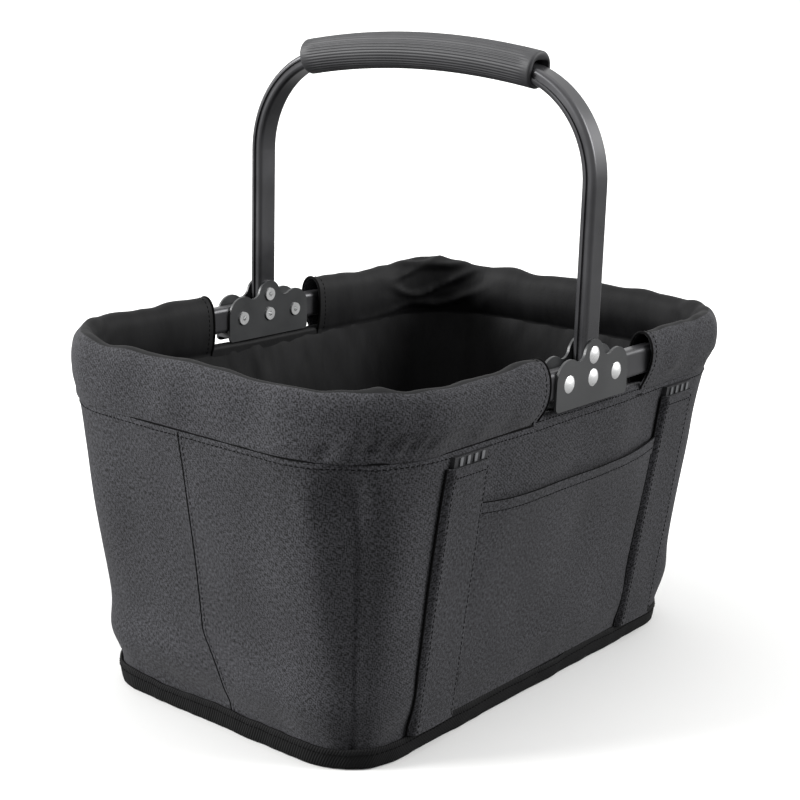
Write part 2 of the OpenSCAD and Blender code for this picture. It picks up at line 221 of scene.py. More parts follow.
@dataclass(frozen=True)
class MelangeWeave(Finish):
    """Woven polyester of mixed dark and pale yarn: matt, flecked along both thread directions."""

    thread: float = 0.6 * MM  # the yarn is about 0.3 mm, too fine to show, so it is drawn coarser
    fleck: float = 2.2 * MM
    twill: float = 1.5 * MM  # about 0.8 mm in the cloth, drawn coarser for the same reason

    def dress(self, tree: NodeTree, shader: Node) -> None:
        """Warp flecks, weft flecks, a faint twill line and an uneven dye.

        Args:
            tree: The material's node tree.
            shader: Its shader.
        """
        warp = self.specks(tree, "UV", (self.thread, self.fleck, 1))
        weft = self.specks(tree, "UV", (self.fleck, self.thread, 1))
        flecks = add_node(tree, "ShaderNodeMix", {"data_type": "FLOAT"},
                          {0: 0.42, 2: warp, 3: weft}).outputs[0]
        woven = add_node(tree, "ShaderNodeMix", {"data_type": "FLOAT"}, {
            0: 0.05, 2: flecks, 3: self.lines(tree, self.twill, math.radians(52))}).outputs[0]
        tone = self.tinted(tree, woven, 0.425, 0.575, self.dark, self.pale)
        slow = self.specks(tree, "UV", (0.04, 0.07, 1), detail=3.0)
        shade = self.tinted(tree, slow, 0.3, 0.7, "#dcdcdc", "#ffffff")
        add_node(tree, "ShaderNodeMix", {"data_type": "RGBA", "blend_type": "MULTIPLY"},
                 {0: 1.0, 6: tone, 7: shade}, {2: shader.inputs["Base Color"]})
        add_node(tree, "ShaderNodeBump", links={"Height": woven, "Strength": 0.6,
                                                "Distance": 0.3 * MM},
                 into={0: shader.inputs["Normal"]})


@dataclass(frozen=True)
class LiningNylon(Finish):
    """Thin coated nylon: near black and dull, so that only its folds show."""

    crease: float = 8 * MM

    def dress(self, tree: NodeTree, shader: Node) -> None:
        """Small soft creases in the height, a fine weave, and a slight unevenness of tone, which
        follows the creases: their hollows are painted darker, a painted shade.

        Args:
            tree: The material's node tree.
            shader: Its shader.
        """
        folds = self.specks(tree, "UV", (self.crease, 2.5 * self.crease, 1), detail=3.0)
        weave = self.specks(tree, "UV", (0.9 * MM, 1.4 * MM, 1))
        both = add_node(tree, "ShaderNodeMix", {"data_type": "FLOAT"},
                        {0: 0.12, 2: folds, 3: weave}).outputs[0]
        # the tone follows the crease height: painted shade in the crease hollows
        tone = self.tinted(tree, both, 0.3, 0.75, self.dark, self.pale)
        tree.links.new(tone, shader.inputs["Base Color"])
        add_node(tree, "ShaderNodeBump", links={"Height": both, "Strength": 0.5,
                                                "Distance": 1.0 * MM},
                 into={0: shader.inputs["Normal"]})


@dataclass(frozen=True)
class RibbedWebbing(Finish):
    """Black polypropylene webbing: fine slanted ribs, with a dull gloss on each."""

    rib: float = 1.5 * MM  # drawn a little coarser than the real 1.2 mm

    def dress(self, tree: NodeTree, shader: Node) -> None:
        """Ribs across the band and uneven yarn in them, in the height and in the tone: the rib
        grooves are painted darker than the crests, a painted shade, and the yarn adds random tone.

        Args:
            tree: The material's node tree.
            shader: Its shader.
        """
        yarn = self.specks(tree, "UV", (0.8 * MM, 2 * MM, 1))
        woven = add_node(tree, "ShaderNodeMix", {"data_type": "FLOAT"}, {
            0: 0.4, 2: self.lines(tree, self.rib, math.radians(24)), 3: yarn}).outputs[0]
        # the tone follows the rib height: painted shade in the grooves, plus random yarn tone
        tone = self.tinted(tree, woven, 0.15, 0.85, self.dark, self.pale)
        tree.links.new(tone, shader.inputs["Base Color"])
        add_node(tree, "ShaderNodeBump", links={"Height": woven, "Strength": 0.9,
                                                "Distance": 0.45 * MM},
                 into={0: shader.inputs["Normal"]})


@dataclass(frozen=True)
class Grained(Finish):
    """A solid material with a fine grain in its height and a slow change of tone.

    Moulded plastic, rubber, foam, thread and paper differ only in their tones, grain and relief.
    """

    grain: float = 0.5 * MM
    relief: float = 0.05 * MM
    patch: float = 20 * MM

    def dress(self, tree: NodeTree, shader: Node) -> None:
        """Grain in the height and slow tone changes.

        Args:
            tree: The material's node tree.
            shader: Its shader.
        """
        fine = self.specks(tree, "Object", (self.grain,) * 3, detail=3.0)
        slow = self.specks(tree, "Object", (self.patch,) * 3, detail=3.0)
        tone = self.tinted(tree, slow, 0.3, 0.75, self.dark, self.pale)
        tree.links.new(tone, shader.inputs["Base Color"])
        add_node(tree, "ShaderNodeBump", links={"Height": fine, "Strength": 0.5,
                                                "Distance": self.relief},
                 into={0: shader.inputs["Normal"]})


@dataclass(frozen=True)
class CoatedMetal(Finish):
    """Metal under a satin black coat or anodising: a soft wide gleam over a very fine grain."""

    grain: float = 0.6 * MM
    stretch: float = 1.0
    relief: float = 0.02 * MM
    polished: float = 0.06  # how much smoother the handled places are
    scuffed: float = 0.08  # how much rougher the worn places are

    def dress(self, tree: NodeTree, shader: Node) -> None:
        """Fine grain in the height, and handling marks in the gloss and the tone.

        Args:
            tree: The material's node tree.
            shader: Its shader.
        """
        fine = self.specks(tree, "Object", (self.grain, self.grain, self.grain * self.stretch))
        wear = self.specks(tree, "Object", (0.03, 0.03, 0.03), detail=4.0)
        add_node(tree, "ShaderNodeMapRange", links={
            "Value": wear, "From Min": 0.3, "From Max": 0.7,
            "To Min": self.roughness - self.polished, "To Max": self.roughness + self.scuffed},
            into={0: shader.inputs["Roughness"]})
        tone = self.tinted(tree, wear, 0.2, 0.9, self.dark, self.pale)
        tree.links.new(tone, shader.inputs["Base Color"])
        add_node(tree, "ShaderNodeBump", links={"Height": fine, "Strength": 0.3,
                                                "Distance": self.relief},
                 into={0: shader.inputs["Normal"]})


class Finishes:
    """The materials of the basket, each made once."""

    def __init__(self) -> None:
        """Makes each material from its finish."""
        self.outer = MelangeWeave("melange_polyester_weave", roughness=0.9, sheen=0.06,
                                  specular=0.2, dark="#151516", pale="#48484c").material()
        self.lining = LiningNylon("coated_nylon_lining", roughness=0.68, specular=0.16,
                                  dark="#070708", pale="#121213").material()
        self.webbing = RibbedWebbing("polypropylene_webbing", roughness=0.8, specular=0.15,
                                     dark="#040404", pale="#151516").material()
        # near-black thread; it also colours the seam cords, which are partly painted shadow lines
        self.thread = Grained("spun_polyester_thread", roughness=0.9, specular=0.08,
                              dark="#050505", pale="#0a0a0b", relief=0.1 * MM).material()
        self.tube = CoatedMetal("anodised_aluminium_black", roughness=0.33, metallic=0.5,
                                dark="#38383a", pale="#474749", stretch=25).material()
        self.plate = CoatedMetal("powder_coated_steel_black", roughness=0.42, dark="#2a2b2c",
                                 pale="#333435", grain=0.5 * MM, relief=0.04 * MM).material()
        self.rivet = CoatedMetal("zinc_plated_steel", roughness=0.3, metallic=0.6,
                                 dark="#dcdddd", pale="#f0f0f0").material()
        self.mill = CoatedMetal("mill_aluminium", roughness=0.45, metallic=1.0, dark="#a9aaab",
                                pale="#c4c5c6").material()
        self.grip = Grained("thermoplastic_rubber_grip", roughness=0.6, dark="#262628",
                            pale="#313133", specular=0.45).material()
        self.plastic = Grained("moulded_polypropylene_black", roughness=0.5, dark="#1d1d1f",
                               pale="#272729").material()
        self.slat = Grained("extruded_polypropylene_dark", roughness=0.5, dark="#1e1e20",
                            pale="#2a2a2c").material()
        # paler tone for the faces of the slat heads' flutes: a painted highlight
        self.flute = Grained("extruded_polypropylene_pale", roughness=0.38, dark="#525355",
                             pale="#6e6f71").material()
        self.foam = Grained("closed_cell_foam", roughness=0.9, dark="#6c6c70", pale="#7b7b80",
                            grain=1.2 * MM, relief=0.3 * MM, specular=0.2).material()

    @staticmethod
    def paper_finish() -> Material:
        """White paper: matt and nearly even."""
        return Grained("white_paper_floor", roughness=0.95, specular=0.05, dark="#f7f7f6",
                       pale="#fafaf9", grain=2 * MM, patch=0.4).material()


# ---------------------------------------------------------------- shapes


def steps_along(path: Array) -> Array:
    """Returns the distances between neighbouring points of a path, shape (n - 1,)."""
    return np.linalg.norm(np.diff(path, axis=0), axis=1)


def distances(path: Array) -> Array:
    """Returns how far along the path each of its points lies, from 0."""
    return np.concatenate([[0], np.cumsum(steps_along(path))])


@dataclass
class Patch:
    """A mesh in arrays: points, faces of four, and a UV in metres for each face corner."""

    points: Array
    faces: Array
    uvs: Array

    @staticmethod
    def joined(parts: list["Patch"]) -> "Patch":
        """Returns several patches as one, as separate islands."""
        starts = np.cumsum([0] + [len(p.points) for p in parts[:-1]])
        return Patch(np.concatenate([p.points for p in parts]),
                     np.concatenate([p.faces + s for p, s in zip(parts, starts)]),
                     np.concatenate([p.uvs for p in parts]))


def grid(points: Array, toward: Array, ring_rows: bool = False, ring_cols: bool = False,
         offset: tuple[float, float] = (0.0, 0.0)) -> Patch:
    """Joins a grid of points with faces of four, turned so that most of them face a given way.

    Corner k of the face at row i and column j is one of (i, j), (i, j+1), (i+1, j+1), (i+1, j).
    The UV is the length along the middle row and along the middle column.

    Args:
        points: Shape (rows, columns, 3).
        toward: Directions that the faces should look in, one per point or one for all.
        ring_rows: Whether the last row joins the first.
        ring_cols: Whether the last column joins the first.
        offset: Where the UV starts, in metres.

    Returns:
        The patch.
    """
    rows, cols = points.shape[:2]
    wrapped = points
    if ring_rows:
        wrapped = np.concatenate([wrapped, wrapped[:1]], axis=0)
    if ring_cols:
        wrapped = np.concatenate([wrapped, wrapped[:, :1]], axis=1)
    across, down = wrapped[wrapped.shape[0] // 2], wrapped[:, wrapped.shape[1] // 2]
    u, v = distances(across), distances(down)
    i, j = np.meshgrid(np.arange(len(v) - 1), np.arange(len(u) - 1), indexing="ij")
    i, j = i.ravel(), j.ravel()
    corner_i = np.stack([i, i, i + 1, i + 1], axis=1)
    corner_j = np.stack([j, j + 1, j + 1, j], axis=1)
    flat = points.reshape(-1, 3)
    faces = (corner_i % rows) * cols + corner_j % cols
    facing = np.cross(flat[faces[:, 2]] - flat[faces[:, 0]], flat[faces[:, 3]] - flat[faces[:, 1]])
    wanted = np.broadcast_to(toward, points.shape).reshape(-1, 3)[faces[:, 0]]
    if (facing * wanted).sum() < 0:
        corner_i, corner_j, faces = corner_i[:, ::-1], corner_j[:, ::-1], faces[:, ::-1]
    uvs = np.stack([u[corner_j] + offset[0], v[corner_i] + offset[1]], axis=2)
    return Patch(flat, faces, uvs.reshape(-1, 2))


def cord(path: Array, normals: Array, width: float = 1.1 * MM, height: float = 0.8 * MM) -> Patch:
    """A thin dark ridge along a seam, partly the seam's real ridge and partly painted shadow: it is
    near black where the fold throws its shadow line. It is an ellipse of eight points carried along
    a path.

    Args:
        path: Points along the seam, shape (n, 3).
        normals: The cloth's normals there.
        width: Its width across the seam.
        height: Its height, half of it in the cloth.

    Returns:
        The closed ridge.
    """
    along = np.gradient(path, axis=0)
    along /= np.maximum(np.linalg.norm(along, axis=1, keepdims=True), 1e-9)
    up = normals - (normals * along).sum(1, keepdims=True) * along
    up /= np.linalg.norm(up, axis=1, keepdims=True)
    across = np.cross(along, up)
    angle = np.linspace(0, 2 * math.pi, 8, endpoint=False)
    ring = (np.cos(angle)[None, :, None] * width / 2 * across[:, None]
            + np.sin(angle)[None, :, None] * height / 2 * up[:, None])
    return closed_tube(path[:, None] + ring, ring)


def closed_tube(points: Array, toward: Array) -> Patch:
    """Closes a tube's two ends: a last ring is drawn together to its middle and filled.

    Args:
        points: Rings of points along the tube, shape (rings, points of a ring, 3).
        toward: Outward directions at the points.

    Returns:
        The closed tube.
    """
    ends = [ring.mean(0) + TIP * (ring - ring.mean(0)) for ring in (points[0], points[-1])]
    full = np.concatenate([ends[0][None], points, ends[1][None]])
    faced = np.concatenate([toward[:1], toward, toward[-1:]])
    made = grid(full, faced, ring_cols=True)
    cols, last = points.shape[1], (len(full) - 1) * points.shape[1]
    half = cols // 2
    k = np.arange(half - 1)
    cap = np.stack([k, k + 1, cols - 2 - k, cols - 1 - k], axis=1)
    order = made.faces[0]
    turned = order[0] < order[1] and order[1] < cols
    near, far = (cap[:, ::-1], cap) if turned else (cap, cap[:, ::-1])
    caps = np.concatenate([near, far + last])
    return Patch(made.points, np.concatenate([made.faces, caps]),
                 np.concatenate([made.uvs, np.zeros((caps.size, 2))]))


def piece(name: str, patch: Patch, material: Material) -> Object:
    """Makes a smooth mesh object at the origin. Its open borders are sharp, so its rim stays crisp.

    Args:
        name: The piece's name.
        patch: Its points and faces.
        material: Its finish.

    Returns:
        The object.
    """
    mesh = bpy.data.meshes.new(name)
    mesh.from_pydata(patch.points.tolist(), [], patch.faces.tolist())
    layer = mesh.uv_layers.new(name="UVMap")
    layer.data.foreach_set("uv", patch.uvs.astype(np.float32).ravel())
    mesh.polygons.foreach_set("use_smooth", np.ones(len(patch.faces), bool))
    edges = np.empty(len(mesh.loops), dtype=np.int32)
    mesh.loops.foreach_get("edge_index", edges)
    border = np.bincount(edges, minlength=len(mesh.edges)) == 1
    mesh.attributes.new("sharp_edge", "BOOLEAN", "EDGE").data.foreach_set("value", border)
    mesh.materials.append(material)
    made = bpy.data.objects.new(name, mesh)
    bpy.context.scene.collection.objects.link(made)
    LOG.info("%s: %d faces", name, len(patch.faces))
    return made


def sewn(name: str, rows: list[Patch], looks: "Finishes") -> Object:
    """Returns rows of stitches and of the dark seam cords, which are partly painted shadow lines,
    as one piece of thread.
    """
    return piece(name, Patch.joined(rows), looks.thread)


def thicken(made: Object, thickness: float) -> None:
    """Gives a sheet its thickness, on the side away from its face normals.

    Args:
        made: The sheet.
        thickness: Its thickness.
    """
    wall = made.modifiers.new("thickness", "SOLIDIFY")
    wall.thickness = thickness
    wall.offset = -1.0
    wall.use_rim = True


def smoothstep(value: Array) -> Array:
    """Returns a soft step: 0 below 0, 1 above 1, and 3t^2 - 2t^3 between."""
    t = np.clip(value, 0.0, 1.0)
    return t * t * (3 - 2 * t)


def bell(value: Array, width: float) -> Array:
    """Returns exp(-(value / width)^2), a soft bump of height 1."""
    return np.exp(-(value / width) ** 2)


def ripple(points: Array, seed: int, length: float, waves: int = 9,
           squash: tuple[float, float, float] = (1, 1, 1)) -> Array:
    """Smooth random relief: a sum of sines with seeded directions, lengths and phases.

    Args:
        points: Places, shape (..., 3).
        seed: Seed of the random draws.
        length: Middle wavelength in metres.
        waves: How many sines are added.
        squash: Factor on each axis; below 1 it draws the relief out along that axis.

    Returns:
        Heights of about -1 to 1, shape (...).
    """
    draw = np.random.default_rng(seed)
    heading = draw.normal(size=(waves, 3))
    heading /= np.linalg.norm(heading, axis=1, keepdims=True)
    pitch = 2 * math.pi / length * draw.uniform(0.6, 1.5, size=(waves, 1))
    phase = draw.uniform(0, 2 * math.pi, size=waves)
    angle = (points * np.array(squash)) @ (heading * pitch).T + phase
    return np.sin(angle).sum(-1) / math.sqrt(waves)


def grid_normals(points: Array) -> Array:
    """Unit normals of a grid: the direction down a column crossed with that along a row.

    Args:
        points: The grid, shape (rows, columns, 3).

    Returns:
        The normals, likewise.
    """
    across = np.gradient(points, axis=1)
    down = np.gradient(points, axis=0)
    normal = np.cross(down, across)
    return normal / np.maximum(np.linalg.norm(normal, axis=2, keepdims=True), 1e-12)


def stitches(path: Array, normals: Array, pitch: float = 3.2 * MM, length: float = 2.3 * MM,
             width: float = 0.55 * MM, lift: float = 0.2 * MM) -> Patch:
    """A row of stitches: short beads at even steps along a path, each a ring of six swept along
    an arch that dives into the cloth at both ends.

    Args:
        path: Points along the row, shape (n, 3).
        normals: The cloth's normals at those points.
        pitch: Distance from stitch to stitch.
        length: Length of a stitch.
        width: Thickness of the thread.
        lift: How far the thread's middle stands off the cloth.

    Returns:
        The stitches as one patch.
    """
    run = distances(path)
    at = np.arange(pitch * 0.7, run[-1] - pitch * 0.5, pitch)
    place = np.stack([np.interp(at, run, path[:, k]) for k in range(3)], axis=1)
    ahead = np.stack([np.interp(at + 0.5 * MM, run, path[:, k]) for k in range(3)], axis=1)
    up = np.stack([np.interp(at, run, normals[:, k]) for k in range(3)], axis=1)
    along = ahead - place
    along /= np.linalg.norm(along, axis=1, keepdims=True)
    up -= (up * along).sum(1, keepdims=True) * along
    up /= np.linalg.norm(up, axis=1, keepdims=True)
    side = np.cross(along, up)
    steps = np.array([-0.5, -0.42, -0.2, 0.2, 0.42, 0.5])
    girth = np.array([0.05, 0.7, 1.0, 1.0, 0.7, 0.05])
    arch = lift * (1 - (2 * steps) ** 4 * 1.8)
    turn = np.arange(6) * math.pi / 3
    centre = (place[:, None] + steps[None, :, None] * length * along[:, None]
              + arch[None, :, None] * up[:, None])
    ring = (np.cos(turn)[:, None, None] * side + np.sin(turn)[:, None, None] * up)
    ring = ring.transpose(1, 0, 2)
    points = centre[:, :, None] + (girth * width / 2)[None, :, None, None] * ring[:, None]
    i, j = np.meshgrid(np.arange(5), np.arange(6), indexing="ij")
    i, j = i.ravel(), j.ravel()
    after = (j + 1) % 6
    one = np.stack([i * 6 + j, (i + 1) * 6 + j, (i + 1) * 6 + after, i * 6 + after], axis=1)
    caps = np.array([[0, 1, 2, 3], [3, 4, 5, 0], [33, 32, 31, 30], [30, 35, 34, 33]])
    one = np.concatenate([one, caps])
    faces = (one[None] + 36 * np.arange(len(at))[:, None, None]).reshape(-1, 4)
    return Patch(points.reshape(-1, 3), faces, np.zeros((faces.size, 2)))


def spline(controls: Array, count: int) -> Array:
    """A smooth curve through control points, by Catmull and Rom's cubic.

    Args:
        controls: Shape (n, k); the curve passes through each row.
        count: How many points to return, evenly spread over the spans.

    Returns:
        Shape (count, k).
    """
    ends = np.concatenate([[2 * controls[0] - controls[1]], controls,
                           [2 * controls[-1] - controls[-2]]])
    at = np.linspace(0, len(controls) - 1, count)
    span = np.minimum(at.astype(int), len(controls) - 2)
    t = (at - span)[:, None]
    a, b, c, d = (ends[span + k] for k in range(4))
    return 0.5 * (2 * b + (c - a) * t + (2 * a - 5 * b + 4 * c - d) * t ** 2
                  + (3 * b - a - 3 * c + d) * t ** 3)


# ---------------------------------------------------------------- measures of the basket


@dataclass(frozen=True)
class Measures:
    """Sizes that several sub-assemblies share, read from the frame at the start."""

    top_x: float
    top_y: float
    foot_x: float
    foot_y: float
    seam_z: float
    rim_x: float
    rim_y: float
    pivot_z: float
    top_r: float = 62 * MM
    foot_r: float = 37 * MM
    rim_r: float = 62 * MM
    strip: float = 50 * MM  # half width of the cloth between the two rim halves
    fold_z: float = 141 * MM  # below this height the bag keeps still when the rim folds

    @staticmethod
    def from_frame() -> "Measures":
        """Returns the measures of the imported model."""
        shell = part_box("bag_shell")[1]
        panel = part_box("bottom_panel")[1]
        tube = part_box("rim_tube_right")[1]
        pivot = next(j for j in frame["joints"] if j["child"] == Side.RIGHT.body)["pos_m"]
        half = 4.5 * MM  # half the tube's width
        return Measures(top_x=shell.x, top_y=shell.y, foot_x=panel.x + 0.1 * MM,
                        foot_y=panel.y + 0.1 * MM, seam_z=shell.z, rim_x=tube.x - half,
                        rim_y=tube.y - half, pivot_z=pivot[2])

    def half_x(self, z: Array) -> Array:
        """Half length of the bag at a height."""
        return self.foot_x + (self.top_x - self.foot_x) * z / self.seam_z

    def half_y(self, z: Array) -> Array:
        """Half width of the bag at a height."""
        return self.foot_y + (self.top_y - self.foot_y) * z / self.seam_z

    def corner(self, z: Array) -> Array:
        """Corner radius of the bag at a height."""
        return self.foot_r + (self.top_r - self.foot_r) * z / self.seam_z


@dataclass(frozen=True)
class Bend:
    """Columns of a U-shaped grid: from the middle of the front, round one end, to the rear."""

    side: Side
    straight: int = 36
    corner: int = 42
    end: int = 60

    def points(self, half_x: Array, half_y: Array, radius: Array, front: float, rear: float,
               seam_y: Array | None = None) -> tuple[Array, Array]:
        """Places along the U: straight, quarter circle, straight, quarter circle, straight.

        Args:
            half_x: Half length at each row, shape (rows, 1).
            half_y: Half width at each row.
            radius: Corner radius at each row.
            front: Where the U starts on the front, as a distance from the middle.
            rear: Where it ends on the rear.
            seam_y: Where the end's middle column runs at each row, if it isn't at y = 0.

        Returns:
            x and y as shape (rows, columns, 2), and the outward normal likewise.
        """
        run = np.linspace(0, 1, self.straight, endpoint=False)
        turn = np.linspace(0, math.pi / 2, self.corner, endpoint=False)
        up = np.linspace(-1, 1, self.end, endpoint=False)
        back = np.linspace(0, 1, self.straight)
        flat_x, flat_y = half_x - radius, half_y - radius
        one = np.ones_like(half_x)
        lean = 0 if seam_y is None else seam_y * (1 - up ** 2) ** 2
        x = np.concatenate([front + run * (flat_x - front), flat_x + radius * np.sin(turn),
                            half_x * np.ones_like(up), flat_x + radius * np.cos(turn),
                            flat_x - back * (flat_x - rear)], axis=1)
        y = np.concatenate([-half_y * np.ones_like(run), -flat_y - radius * np.cos(turn),
                            flat_y * up + lean, flat_y + radius * np.sin(turn),
                            half_y * np.ones_like(back)], axis=1)
        nx = np.concatenate([0 * run, np.sin(turn), 0 * up + 1, np.cos(turn), 0 * back]) * one
        ny = np.concatenate([0 * run - 1, -np.cos(turn), 0 * up, np.sin(turn), 0 * back + 1]) * one
        sign = self.side.value
        return np.stack([sign * x, y], axis=2), np.stack([sign * nx, ny], axis=2)


# ---------------------------------------------------------------- bag


@dataclass(frozen=True)
class Dent:
    """A hollow in the cloth where a corner hangs loose; a negative depth is a swell. All in mm."""

    x: float
    y: float
    height: float
    width: float
    tallness: float
    depth: float


LOOSE_CORNERS = (
    Dent(-177, -102, 158, 9, 11, 4.6), Dent(-186, -84, 154, 9, 16, -2.2),
    Dent(-162, -122, 148, 9, 16, -1.8), Dent(-166, -104, 95, 12, 40, 1.4),
    Dent(-180, -84, 110, 11, 45, -1.6), Dent(-146, -118, 128, 12, 30, -1.4),
    Dent(168, -108, 152, 14, 20, 3.0), Dent(166, 108, 150, 14, 24, 2.8),
    Dent(-168, 108, 152, 14, 24, 2.6))


@dataclass
class Bag:
    """The bag's cloth: outer walls, lining, hems under the hinges, foam, floor and foot webbing."""

    size: Measures
    looks: Finishes
    rows: int = 84
    cloth: float = 1.0 * MM
    foot_gap: float = 0.3 * MM
    lining_in: float = 5.0 * MM
    lining_foot: float = 6.2 * MM
    lining_cloth: float = 0.5 * MM
    bottom_cloth: float = 1.1 * MM
    binding_h: float = 13 * MM
    webbing_w: float = 15 * MM
    hem_h: float = 4.4 * MM
    hem_cloth: float = 0.7 * MM
    seam_drop: float = 3.4 * MM  # from the top edge down to its row of stitches
    end_stitches: float = 2.4 * MM  # from the end seam to the row beside it
    sleeve_starts: dict = field(default_factory=lambda: {
        (Side.LEFT, -1): 46 * MM, (Side.RIGHT, -1): 62 * MM,
        (Side.LEFT, 1): 53 * MM, (Side.RIGHT, 1): 47 * MM})

    # ---- surfaces

    def lift(self, p: Array, n: Array) -> Array:
        """How far the outer cloth stands off the plain taper, in metres.

        It is a slow swell, long upright folds, a bulge over the pocket, corners that hang a
        little flat because no foam backs them, dents and short puckers under the top seam, and
        a tuck at the seam and above the foot webbing.

        Args:
            p: Points, shape (rows, columns, 3).
            n: Horizontal normals, likewise.

        Returns:
            The lift, shape (rows, columns).
        """
        s = self.size
        z = p[..., 2]
        front = np.clip(-n[..., 1], 0, 1) ** 2
        corner = np.clip(1 - np.abs(n[..., 0] ** 2 - n[..., 1] ** 2), 0, 1)
        below = s.seam_z - z
        middle = 1 - smoothstep((np.abs(p[..., 0]) - 40 * MM) / (45 * MM))
        out = 0.9 * MM + 0.8 * MM * ripple(p, 11, 0.12)
        out += 0.5 * MM * ripple(p, 12, 0.05, squash=(1, 1, 0.3)) * (0.3 + corner)
        out += front * middle * 4.5 * MM * bell(z - 152 * MM, 30 * MM)
        out -= 2.4 * MM * corner ** 4 * smoothstep(below / (30 * MM))
        out += corner * (1 - corner) * 3.0 * MM * smoothstep(below / (25 * MM))
        dents = np.clip(ripple(p, 15, 0.052, squash=(1, 1, 0.35)) - 0.1, 0, 1.5)
        out -= 2.0 * MM * dents * (0.25 + corner) * bell(below - 26 * MM, 22 * MM)
        for dent in LOOSE_CORNERS:
            near = np.hypot(p[..., 0] - dent.x * MM, p[..., 1] - dent.y * MM)
            out -= (dent.depth * MM * bell(near, dent.width * MM)
                    * bell(z - dent.height * MM, dent.tallness * MM))
        out += 0.8 * MM * ripple(p, 13, 0.02, squash=(1, 1, 0.25)) * np.exp(
            -np.clip(below, 0, None) / (10 * MM)) * (0.2 + corner)
        end = n[..., 0] ** 2
        out += (1.2 + 2.8 * end) * MM * bell(z - 36 * MM, 13 * MM)
        out -= 1.4 * MM * bell(z - 14 * MM, 9 * MM)
        out += 0.45 * MM * ripple(p, 14, 0.03, squash=(1, 1, 0.4)) * bell(z - 20 * MM, 12 * MM)
        rear = np.clip(n[..., 1], 0, 1) ** 2
        rear = rear * (1 - smoothstep((np.abs(p[..., 0]) - 55 * MM) / (20 * MM)))
        out *= 1 - rear
        out = np.maximum(out, -(0.2 + 3.3 * corner * smoothstep(below / (10 * MM))) * MM)
        return out - 1.1 * MM * bell(below + 0.2 * MM, 1.8 * MM)

    def side_points(self, side: Side, z: Array, inset: float = 0.0) -> tuple[Array, Array]:
        """Points of the U-shaped wall at heights z of shape (rows, columns or 1).

        The middle column of the left end swings forward by 15 mm between the heights of 62 and
        32 mm, as the end seam does.

        Args:
            side: Which half.
            z: Heights.
            inset: How far inside the outer face.

        Returns:
            Points and horizontal normals, each (rows, columns, 3).
        """
        s = self.size
        bend = Bend(side)
        drop = smoothstep((62 * MM - z[:, :1]) / (30 * MM))
        seam_y = 3 * MM - 15 * MM * drop if side is Side.LEFT else 2 * MM + 0 * drop
        xy, n = bend.points(s.half_x(z[:, :1]) - inset, s.half_y(z[:, :1]) - inset,
                            s.corner(z[:, :1]) - inset, s.strip, s.strip, seam_y)
        full = np.broadcast_to(z[:, :1, None], (*xy.shape[:2], 1))
        points = np.concatenate([xy, full], axis=2)
        normals = np.concatenate([n, np.zeros_like(full)], axis=2)
        return points, normals

    def flat_points(self, x: Array, z: Array, rear: bool,
                    inset: float = 0.0) -> tuple[Array, Array]:
        """Points of the flat front or rear wall.

        Args:
            x: Places along the basket.
            z: Heights; they broadcast with x.
            rear: Whether it is the rear wall.
            inset: How far inside the outer face.

        Returns:
            Points and horizontal normals, each (rows, columns, 3).
        """
        x, z = np.broadcast_arrays(x, z)
        sign = 1 if rear else -1
        y = sign * (self.size.half_y(z) - inset)
        normal = np.zeros((*x.shape, 3))
        normal[..., 1] = sign
        return np.stack([x, y, z], axis=-1), normal

    def raised(self, points: Array, normals: Array, extra: Array | float = 0.0) -> Array:
        """Moves points out along their normals by the cloth's lift and something extra."""
        amount = self.lift(points, normals) + extra
        return points + normals * amount[..., None]

    def hung(self, p: Array, n: Array) -> Array:
        """The lining: it hangs in from its wall in soft upright folds, widest at mid height.

        Args:
            p: Points of the plain wall.
            n: Their horizontal normals.

        Returns:
            The hanging points.
        """
        z = np.clip(p[..., 2] / self.size.seam_z, 0, 1)
        wave = ripple(p, 21, 0.075, squash=(1, 1, 0.16))
        wave = wave + 0.55 * ripple(p, 22, 0.033, squash=(1, 1, 0.2))
        deep = 1.0 * MM + 1.9 * MM * np.clip(wave, -0.5, 1.5)
        pleat = 0.6 * MM * ripple(p, 23, 0.016, squash=(1, 1, 0.3)) * bell(z - 0.93, 0.1)
        inward = np.clip(deep * np.sin(math.pi * z) ** 0.6 + pleat, 0, None)
        return p - n * inward[..., None]

    # ---- pieces

    def spread(self, made: Object, side: Side, middle: bool = False) -> None:
        """Bakes a piece's transform into its mesh; the piece does not follow a rim half when it
        folds.

        It works out the ends of a share that would grow with height: on the walls beside the hinges
        from the fold line to the seam, and in the middle from nothing at x = 0 along the direction
        whose gradient is (1 / strip, 1 / (seam - fold)). Nothing uses these ends.

        Args:
            made: The piece.
            side: The half whose fold it would follow.
            middle: Whether it lies between the rim halves.
        """
        s = self.size
        rise = s.seam_z - s.fold_z
        if middle:
            slope = np.array([side.value / s.strip, 0, 1 / rise])
            start = np.array([0, 0, s.seam_z])
            end = start + slope / (slope @ slope)
        else:
            start, end = np.array([0, 0, s.fold_z]), np.array([0, 0, s.seam_z])
        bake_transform(made)

